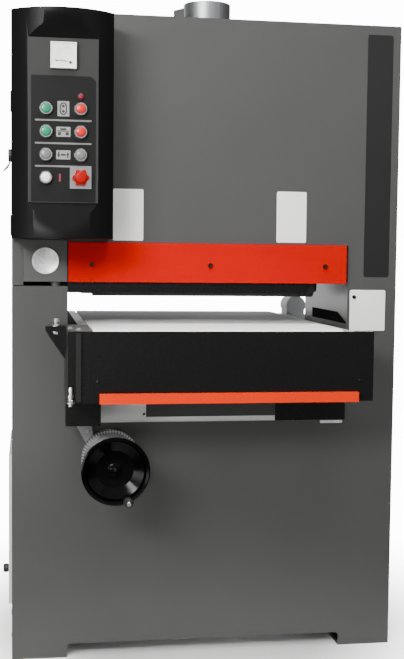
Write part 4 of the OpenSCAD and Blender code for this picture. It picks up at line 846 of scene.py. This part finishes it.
@dataclass
class Meter:
    """Lower strip, scale and hand on the panel meter's sunk face."""

    sunk: float = 0.002
    ink_t: float = 0.0003
    # the hand's pivot from the face's middle, and the hand's length, half width, hub and angle
    pivot: Point = (0.016, -0.016)
    hand_r: float = 0.035
    hand_half: float = 0.0005
    hand_degrees: float = 166.0
    hand_out: float = 0.0011
    hand_t: float = 0.0004
    hub_r: float = 0.0028
    hub_t: float = 0.0014
    # graduation: each fifth line is longer
    ticks: int = 11
    long_every: int = 5
    first_degrees: float = 96.0
    step_degrees: float = 7.6
    tick_r: Point = (0.033, 0.038)
    long_r: Point = (0.031, 0.038)
    tick_half: float = 0.0003
    # three bars from the face's middle, and the triangle under the pivot
    bar: Box = (-0.019, -0.0115, -0.0144, -0.0122)
    bar_steps: tuple[float, ...] = (0, 0.009, 0.018)
    bar_r: float = 0.0004
    triangle: Outline = ((-0.0036, -0.003), (0.0046, -0.003), (0.0005, 0.0042))

    def build(self) -> None:
        """Draws the strip, the scale and the hand."""
        low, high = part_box("ammeter")
        x, z, face = (low.x + high.x) / 2, (low.z + high.z) / 2, low.y + self.sunk
        px, pz = x + self.pivot[0], z + self.pivot[1]
        x0, x1, z0, z1 = self.bar
        foot = [plate_loop(x + x0 + d, x + x1 + d, z + z0, z + z1, self.bar_r) for d in self.bar_steps]
        foot.append([(px + dx, pz + dz) for dx, dz in self.triangle])
        for name, loops, finish in (("meter_foot", foot, DARK_INK_AND_SHADE), ("meter_scale", self._scale(px, pz), PALE_INK)):
            add_piece(name, flat_shape(loops, face - self.ink_t, self.ink_t), finish, "cabinet")
        a = math.radians(self.hand_degrees)
        tip = (px + math.cos(a) * self.hand_r, pz + math.sin(a) * self.hand_r)
        hand = [(px, pz - self.hand_half), tip, (px, pz + self.hand_half)]
        needle = flat_shape([hand], face - self.hand_out, self.hand_t)
        hub = flat_shape([ring(px, pz, self.hub_r, SCREW_STEPS)], face - self.hub_t, self.hub_t)
        add_piece("meter_hand", gather([(needle, Matrix()), (hub, Matrix())]), DARK_INK_AND_SHADE, "cabinet")

    def _scale(self, px: float, pz: float) -> list[Outline]:
        """Draws the graduation's lines.

        Args:
            px: the X of the hand's pivot.
            pz: the Z of the hand's pivot.

        Returns:
            The lines' outlines.
        """
        lines: list[Outline] = []
        for i in range(self.ticks):
            a = math.radians(self.first_degrees + i * self.step_degrees)
            r0, r1 = self.tick_r if i % self.long_every else self.long_r
            along, across = (math.cos(a), math.sin(a)), (-math.sin(a) * self.tick_half, math.cos(a) * self.tick_half)
            lines.append([(px + along[0] * r + across[0] * s, pz + along[1] * r + across[1] * s)
                          for r, s in ((r0, -1), (r1, -1), (r1, 1), (r0, 1))])
        return lines


@dataclass
class SandingHead:
    """Screws of the guard bar and the disc on the lock block."""

    guard_screw: Screw = Screw(Head.SOCKET, 6, 5)
    guard_x: tuple[float, ...] = (-0.302, 0.0005, 0.303)
    guard_share: float = 0.44
    disc_z: float = 1.0195
    disc: Outline = ((0, 0), (0.0335, 0), (0.0335, 0.0012), (0.0322, 0.0022), (0.031, 0.0016), (0, 0.0014))

    def build(self) -> None:
        """Makes the guard's screws and the block's disc."""
        low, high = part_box("guard_bar")
        z = low.z + self.guard_share * (high.z - low.z)
        places = [(Vector((x, low.y, z)), FRONT) for x in self.guard_x]
        add_piece("guard_screws", self.guard_screw.at(places), BLACK_OXIDE, "cabinet")
        low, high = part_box("lock_block")
        mid = Vector(((low.x + high.x) / 2, low.y, self.disc_z))
        add_piece("lock_disc", turned(self.disc, mid), PEENED_ALLOY_AND_HIGHLIGHT, "lock_block")


@dataclass
class FeedTable:
    """Bolts, plate, gusset, skirt and rib of the feed table."""

    # stop bolt through the bracket's arm: its place, radius and height pairs, and the nut under the arm
    stop: Spot = (-0.3915, -0.2685, 0.858)
    stop_stud: Outline = ((0, -0.024), (0.0042, -0.023), (0.005, -0.021), (0.005, 0.016), (0, 0.016))
    stop_head: Outline = ((0, 0.012), (0.0085, 0.012), (0.0085, 0.018), (0.0075, 0.0195), (0, 0.0195))
    stop_nut: Screw = Screw(Head.HEX, 9.5, 7)
    under_nut: float = -0.013
    # adjusting bolt beside the bracket, with its nut and collar
    adjuster: Spot = (-0.3625, -0.4685, 0.684)
    stud: Outline = ((0, 0), (0.004, 0), (0.005, 0.001), (0.005, 0.043), (0.004, 0.045), (0, 0.045))
    collar: Outline = ((0, 0.02), (0.0075, 0.02), (0.0075, 0.026), (0, 0.026))
    stud_nut: Screw = Screw(Head.HEX, 8.5, 8)
    stud_nut_z: float = 0.008
    # four bolts on each bearing block: the block's middle from its end, and the bolts from that
    bearing_bolt: Screw = Screw(Head.HEX, 5, 4)
    bearing_in: float = 0.035
    bearing_half: float = 0.025
    # bolts of the corner plate, across and from the front, and of the front cover
    corner_bolt: Screw = Screw(Head.HEX, 5.5, 4.5)
    corner_bolts: tuple[Point, ...] = ((-0.344, 0.025), (-0.362, 0.06))
    cover_bolt: Screw = Screw(Head.PAN, 4, 2)
    cover_bolt_in: float = 0.035
    cover_bolt_up: float = 0.05
    # cast plate over the bracket's top
    plate_x: Point = (-0.366, -0.3125)
    plate_t: float = 0.0025
    plate_r: float = 0.0008
    plate_in: float = 0.004
    plate_short: float = 0.005
    # web under the stop arm
    gusset: Outline = ((-0.3688, 0.8052), (-0.417, 0.8468), (-0.4125, 0.8400), (-0.3688, 0.776))
    gusset_y: float = -0.2743
    gusset_t: float = 0.0116
    # rubber skirt: its clearances, and how far its corners lie under the rail's top
    skirt_clear: float = 0.004
    skirt_gap: float = 0.001
    skirt_short: float = 0.01
    skirt_outer: Point = (0.004, 0.0015)
    skirt_inner: float = 0.010
    # upright rib on the bracket's front
    rib_x: Point = (-0.3505, -0.3385)
    rib_z0: float = 0.694
    rib_t: float = 0.006
    rib_r: float = 0.003
    rib_short: float = 0.004

    def build(self) -> None:
        """Makes the table's bolts and its thin castings and trim."""
        self._stop_bolt()
        self._adjuster()
        self._bearing_bolts()
        self._corner_bolts()
        self._corner_plate()
        self._arm_gusset()
        self._rail_skirt()
        self._bracket_rib()

    def _stop_bolt(self) -> None:
        """Makes the stop bolt with its lock nuts, through the bracket's arm."""
        nut = self.stop_nut.mesh()
        place = Matrix.Translation(self.stop)
        under = place @ Matrix.Translation((0, 0, self.under_nut)) @ Matrix.Rotation(math.pi, 4, "X")
        bolt = gather([(lathe(self.stop_stud, SCREW_STEPS), place), (nut, place),
                       (lathe(self.stop_head, HEX_STEPS), place), (nut, under)])
        add_piece("stop_bolt", bolt, SCREW_STEEL, "table")

    def _adjuster(self) -> None:
        """Makes the upright adjusting bolt with its nut beside the bracket."""
        place = Matrix.Translation(self.adjuster)
        bolt = gather([(lathe(self.stud, SCREW_STEPS), place),
                       (self.stud_nut.mesh(), place @ Matrix.Translation((0, 0, self.stud_nut_z))),
                       (lathe(self.collar, SCREW_STEPS), place)])
        add_piece("adjusting_bolt", bolt, SCREW_STEEL, "table")

    def _bearing_bolts(self) -> None:
        """Fixes the two bearing blocks whose outer face is free with four bolts each."""
        low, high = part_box("feed_bearings")
        z, half = (low.z + high.z) / 2, self.bearing_half
        places = [(Vector((x, y + dy, z + dz)), axis)
                  for x, y, axis in ((high.x, low.y + self.bearing_in, RIGHT), (low.x, high.y - self.bearing_in, LEFT))
                  for dy in (-half, half) for dz in (-half, half)]
        add_piece("bearing_bolts", self.bearing_bolt.at(places), SCREW_STEEL, "table")

    def _corner_bolts(self) -> None:
        """Fixes the bracket's top plate and the front cover."""
        low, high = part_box("front_cover")
        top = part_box("table_bracket")[1].z + self.plate_t
        places = [(Vector((x, low.y + back, top)), UP) for x, back in self.corner_bolts]
        add_piece("corner_bolts", self.corner_bolt.at(places), SCREW_STEEL, "table")
        front = [(Vector((x, low.y, low.z + self.cover_bolt_up)), FRONT)
                 for x in (low.x + self.cover_bolt_in, high.x - self.cover_bolt_in)]
        add_piece("cover_bolts", self.cover_bolt.at(front), BLACK_OXIDE, "table")

    def _corner_plate(self) -> None:
        """Lays the grey cast plate over the bracket's top and the rail's front end."""
        low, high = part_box("table_bracket")
        profile = plate_loop(*self.plate_x, high.z, high.z + self.plate_t, self.plate_r)
        plate = flat_shape([profile], low.y + self.plate_in, high.y - low.y - self.plate_short)
        add_piece("corner_plate", plate, PLATE_IRON, "table")

    def _arm_gusset(self) -> None:
        """Carries the stop arm's web further down the bracket's side."""
        gusset = flat_shape([self.gusset], self.gusset_y, self.gusset_t)
        add_piece("arm_gusset", gusset, BLACK_ENAMEL_AND_SHADE, "table")

    def _rail_skirt(self) -> None:
        """Closes most of the gap between the left rail and the post with a rubber skirt."""
        low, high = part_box("table_frame")
        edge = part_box("left_post")[1].x + self.skirt_clear
        bottom, top = self.skirt_outer
        profile = [(edge, high.z - bottom), (low.x, high.z - self.skirt_inner), (low.x, high.z), (edge, high.z - top)]
        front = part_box("table_bracket")[1].y + self.skirt_gap
        skirt = flat_shape([profile], front, high.y - self.skirt_short - front)
        add_piece("rail_skirt", skirt, SEAL_RUBBER_AND_SHADE, "table")

    def _bracket_rib(self) -> None:
        """Stands the casting's upright rib on the bracket's front face."""
        low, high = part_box("table_bracket")
        profile = plate_loop(*self.rib_x, self.rib_z0, high.z - self.rib_short, self.rib_r)
        add_piece("bracket_rib", flat_shape([profile], low.y - self.rib_t, self.rib_t), GREYED_BLACK_ENAMEL, "table")


@dataclass
class LiftWheel:
    """Hub cover of the handwheel, its dial with lines and painted notch shade, and its crank knob's end."""

    axis_z: float = 0.521
    # radius and height pairs of the hub's cover, its screw and the knob's end
    cover: Outline = ((0, 0), (0.0165, 0), (0.0165, 0.001), (0.0145, 0.0026), (0.006, 0.0034), (0, 0.0034))
    screw: Outline = ((0, 0), (0.0045, 0), (0.0045, 0.0014), (0.0036, 0.0024), (0.0016, 0.0024),
                      (0.0013, 0.0012), (0, 0.0012))
    button: Outline = ((0, -0.001), (0.005, -0.001), (0.005, 0.0004), (0.0038, 0.0016), (0, 0.002))
    # dial: its rim, its width and how far its front stands out, and the cone of its etched face
    dial_r: float = 0.074
    dial_w: float = 0.021
    dial_out: float = 0.047
    face_r: float = 0.0686
    face_t: float = 0.0004
    neck_r: float = 0.0246
    neck_h: float = 0.0166
    # marks: shares of the pitch, and millimetres out from the rim; the notches are filled dark as painted shade
    notches: int = 60
    notch: Outline = ((0.62, -0.4), (0.67, -1.7), (0.83, -1.7), (0.88, -0.4))
    notch_shade_in: float = 0.0005
    line: Point = (0.61, 0.89)
    line_rim: float = -0.1
    line_t: float = 0.0003

    def build(self) -> None:
        """Makes the hub's cover with its screw, the dial's face, lines and notch shade, and the knob's end."""
        low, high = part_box("handwheel")
        mid = Vector(((low.x + high.x) / 2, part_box("wheel_shaft")[0].y, self.axis_z))
        add_piece("wheel_cap", turned(self.cover, mid), WHEEL_ENAMEL, "handwheel")
        top = mid + FRONT * self.cover[-1][1]
        add_piece("wheel_cap_screw", turned(self.screw, top, SCREW_STEPS), BLACK_OXIDE, "handwheel")
        self._dial(mid)
        low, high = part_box("handwheel_knob")
        end = Vector(((low.x + high.x) / 2, low.y, (low.z + high.z) / 2))
        add_piece("knob_end", turned(self.button, end, SCREW_STEPS), SCREW_STEEL, "handwheel_knob")

    def _dial(self, mid: Vector) -> None:
        """Etches the dial's face, prints its graduation lines dark, and fills its notches with painted shade.

        Args:
            mid: a point on the wheel's axis.
        """
        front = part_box("base_front_panel")[0].y - self.dial_out
        cone = ((0, 0), (self.face_r, 0), (self.face_r, self.face_t), (self.neck_r, self.neck_h), (0, self.neck_h))
        face = turned(cone, Vector((mid.x, front, mid.z)), DIAL_STEPS)
        add_piece("dial_face", face, DIAL_FACE, "handwheel")
        first, last = self.line
        rim, foot = self.line_rim, (self.face_r - self.dial_r) / MM
        line = ((first, rim), (first, foot), (last, foot), (last, rim))
        for name, mark, at, thick in (("dial_lines", line, front - self.line_t, self.line_t),
                                      ("dial_notches", self.notch, front + self.notch_shade_in, self.dial_w)):
            add_piece(name, flat_shape(self._around(mark, mid), at, thick), DARK_INK_AND_SHADE, "handwheel")

    def _around(self, mark: Outline, mid: Vector) -> list[Outline]:
        """Repeats a mark round the dial.

        Args:
            mark: shares of the pitch, and millimetres out from the rim.
            mid: a point on the wheel's axis.

        Returns:
            The marks' outlines.
        """
        loops: list[Outline] = []
        for i in range(self.notches):
            turns = [(self.dial_r + out * MM, 2 * math.pi * (i + share) / self.notches) for share, out in mark]
            loops.append([(mid.x + r * math.cos(a), mid.z + r * math.sin(a)) for r, a in turns])
        return loops


@dataclass(frozen=True)
class SoftBox:
    """A rectangular studio light: its place, size, power and the width of its beam in degrees."""

    name: str
    at: Spot
    size: Point
    watts: float
    beam: float = 180.0

    def hang(self, aim: Spot) -> None:
        """Hangs the light so that it shines at a point.

        Args:
            aim: the point.
        """
        data = bpy.data.lights.new(self.name, "AREA")
        data.shape = "RECTANGLE"
        data.size, data.size_y = self.size
        data.energy = self.watts
        data.spread = math.radians(self.beam)
        lamp = bpy.data.objects.new(self.name, data)
        lamp.location = self.at
        lamp.rotation_mode = "QUATERNION"
        lamp.rotation_quaternion = (Vector(aim) - Vector(self.at)).to_track_quat("-Z", "Y")
        bpy.context.scene.collection.objects.link(lamp)


@dataclass
class Studio:
    """Pale floor, white backdrop, soft light and the camera at the photograph's angle."""

    # camera: its place, its angles in degrees and its focal length in the photograph's pixels
    camera_at: Spot = (-0.460, -3.0155, 1.037)
    yaw: float = 9.01
    pitch: float = 3.85
    roll: float = -0.63
    focal_px: float = 1100.8
    # floor, and the shares of its radius between which it fades
    floor_r: float = 1.35
    floor_steps: int = 96
    fade: Point = (0.26, 0.98)
    # backdrop, and the screen behind the object: half width, Y, bottom and top
    backdrop_r: float = 30.0
    backdrop_steps: tuple[int, int] = (48, 24)
    backdrop_glow: float = 14.0
    screen: Box = (8.0, 12.0, -1.0, 8.0)
    screen_glow: float = 2.2
    # room light: where it is strongest, the span over which it rises, and its strength at both ends
    sky_axis: Spot = (0.0, -0.75, 0.66)
    sky_span: Point = (0.35, 1.0)
    sky_glow: Point = (0.12, 0.85)
    boxes: tuple[SoftBox, ...] = (
        SoftBox("key_box", (-1.65, -2.8, 2.05), (1.5, 0.6), 42.0, 100.0),
        SoftBox("fill_box", (3.2, -3.0, 2.0), (2.4, 2.4), 9.0),
        SoftBox("top_box", (-0.2, -1.5, 4.2), (1.8, 1.8), 165.0),
        SoftBox("low_box", (-1.0, -2.3, 0.35), (0.8, 0.4), 5.0),
        SoftBox("side_box", (-1.35, -1.1, 0.75), (0.4, 0.8), 8.0),
        SoftBox("rear_box", (1.4, 3.2, 0.7), (2.0, 1.2), 100.0))
    aim: Spot = (0, 0, 1.45)

    def build(self) -> None:
        """Makes the floor, the backdrop, the lights and the camera."""
        self._floor()
        self._backdrop()
        self._lights()
        self._camera()

    def _floor(self) -> None:
        """Lays a plain pale floor that fades out into the backdrop."""
        shape = bmesh.new()
        bmesh.ops.create_circle(shape, cap_ends=True, segments=self.floor_steps, radius=self.floor_r)
        mesh = to_mesh(shape, "floor")
        pale = FLOOR_PAINT.material()
        tree = pale.node_tree
        way = add_node(tree, "ShaderNodeTexCoord").outputs["Object"]
        far = add_node(tree, "ShaderNodeVectorMath", {"operation": "LENGTH"}, {0: way}).outputs["Value"]
        near, end = (share * self.floor_r for share in self.fade)
        fade = {"interpolation_type": "SMOOTHSTEP", "From Min": near, "From Max": end, "To Min": 1.0, "To Max": 0.0}
        left = add_node(tree, "ShaderNodeMapRange", fade, {"Value": far}).outputs[0]
        tree.links.new(left, tree.nodes["Principled BSDF"].inputs["Alpha"])
        mesh.materials.append(pale)
        floor = bpy.data.objects.new("floor", mesh)
        bpy.context.scene.collection.objects.link(floor)

    def _backdrop(self) -> None:
        """Hangs a white backdrop all round that lights nothing, and a far screen that only gloss mirrors."""
        shape = bmesh.new()
        around, up = self.backdrop_steps
        bmesh.ops.create_uvsphere(shape, u_segments=around, v_segments=up, radius=self.backdrop_r)
        self._glow("backdrop", to_mesh(shape, "backdrop"), self.backdrop_glow, False)
        half, y, z0, z1 = self.screen
        mesh = bpy.data.meshes.new("rear_screen")
        mesh.from_pydata([(-half, y, z0), (half, y, z0), (half, y, z1), (-half, y, z1)], [], [(0, 1, 2, 3)])
        self._glow("rear_screen", mesh, self.screen_glow, True)

    def _glow(self, name: str, mesh: bpy.types.Mesh, strength: float, mirrored: bool) -> None:
        """Adds a white stage piece that gives no light to matt surfaces.

        Args:
            name: the piece's name.
            mesh: its mesh.
            strength: its brightness.
            mirrored: whether glossy surfaces see it, and the camera doesn't.
        """
        white = bpy.data.materials.new("white_" + name)
        white.use_nodes = True
        tree = white.node_tree
        glow = add_node(tree, "ShaderNodeEmission", {"Color": (1.0, 1.0, 1.0, 1.0), "Strength": strength}).outputs[0]
        tree.links.new(glow, tree.nodes["Material Output"].inputs["Surface"])
        mesh.materials.append(white)
        piece = bpy.data.objects.new(name, mesh)
        piece.visible_camera = not mirrored
        piece.visible_glossy = mirrored
        piece.visible_diffuse = False
        piece.visible_transmission = False
        piece.visible_shadow = False
        bpy.context.scene.collection.objects.link(piece)

    def _lights(self) -> None:
        """Lights the room from above the operator, and hangs the soft boxes."""
        world = bpy.data.worlds.new("studio_air")
        bpy.context.scene.world = world
        world.use_nodes = True
        tree = world.node_tree
        # the room is pale above the operator's side and dim elsewhere, so that black paint stays deep
        ways = add_node(tree, "ShaderNodeTexCoord").outputs["Generated"]
        height = add_node(tree, "ShaderNodeVectorMath", {"operation": "DOT_PRODUCT", 1: self.sky_axis},
                          {0: ways}).outputs["Value"]
        rise = {"interpolation_type": "SMOOTHSTEP", "From Min": self.sky_span[0], "From Max": self.sky_span[1],
                "To Min": self.sky_glow[0], "To Max": self.sky_glow[1]}
        glow = add_node(tree, "ShaderNodeMapRange", rise, {"Value": height}).outputs[0]
        tree.links.new(glow, tree.nodes["Background"].inputs["Strength"])
        tree.nodes["Background"].inputs["Color"].default_value = (1.0, 1.0, 1.0, 1.0)
        for box in self.boxes:
            box.hang(self.aim)

    def _camera(self) -> None:
        """Sets the camera where the photograph was taken."""
        yaw, pitch, roll = (math.radians(a) for a in (self.yaw, self.pitch, self.roll))
        ahead = Vector((math.sin(yaw) * math.cos(pitch), math.cos(yaw) * math.cos(pitch), -math.sin(pitch)))
        right = Vector((math.cos(yaw), -math.sin(yaw), 0))
        down = ahead.cross(right)
        right_rolled = right * math.cos(roll) + down * math.sin(roll)
        down_rolled = down * math.cos(roll) - right * math.sin(roll)
        data = bpy.data.cameras.new("photo_camera")
        data.sensor_width = SENSOR_MM
        data.lens = self.focal_px / max(IMAGE_W, IMAGE_H) * SENSOR_MM
        camera = bpy.data.objects.new("photo_camera", data)
        axes = Matrix((right_rolled, -down_rolled, -ahead)).transposed()
        camera.matrix_world = Matrix.Translation(self.camera_at) @ axes.to_4x4()
        bpy.context.scene.collection.objects.link(camera)
        bpy.context.scene.camera = camera


def write_sizes() -> None:
    """Updates the view layer, so that every piece's box is current."""
    bpy.context.view_layer.update()


def main() -> None:
    """Builds the studio and dresses each sub-assembly in order."""
    logging.basicConfig(level=logging.INFO, format="%(name)s %(message)s")
    for assembly in (Studio, Solids, Cabinet, ControlStation, Meter, SandingHead, FeedTable, LiftWheel):
        assembly().build()
    write_sizes()


if __name__ == "__main__":
    main()
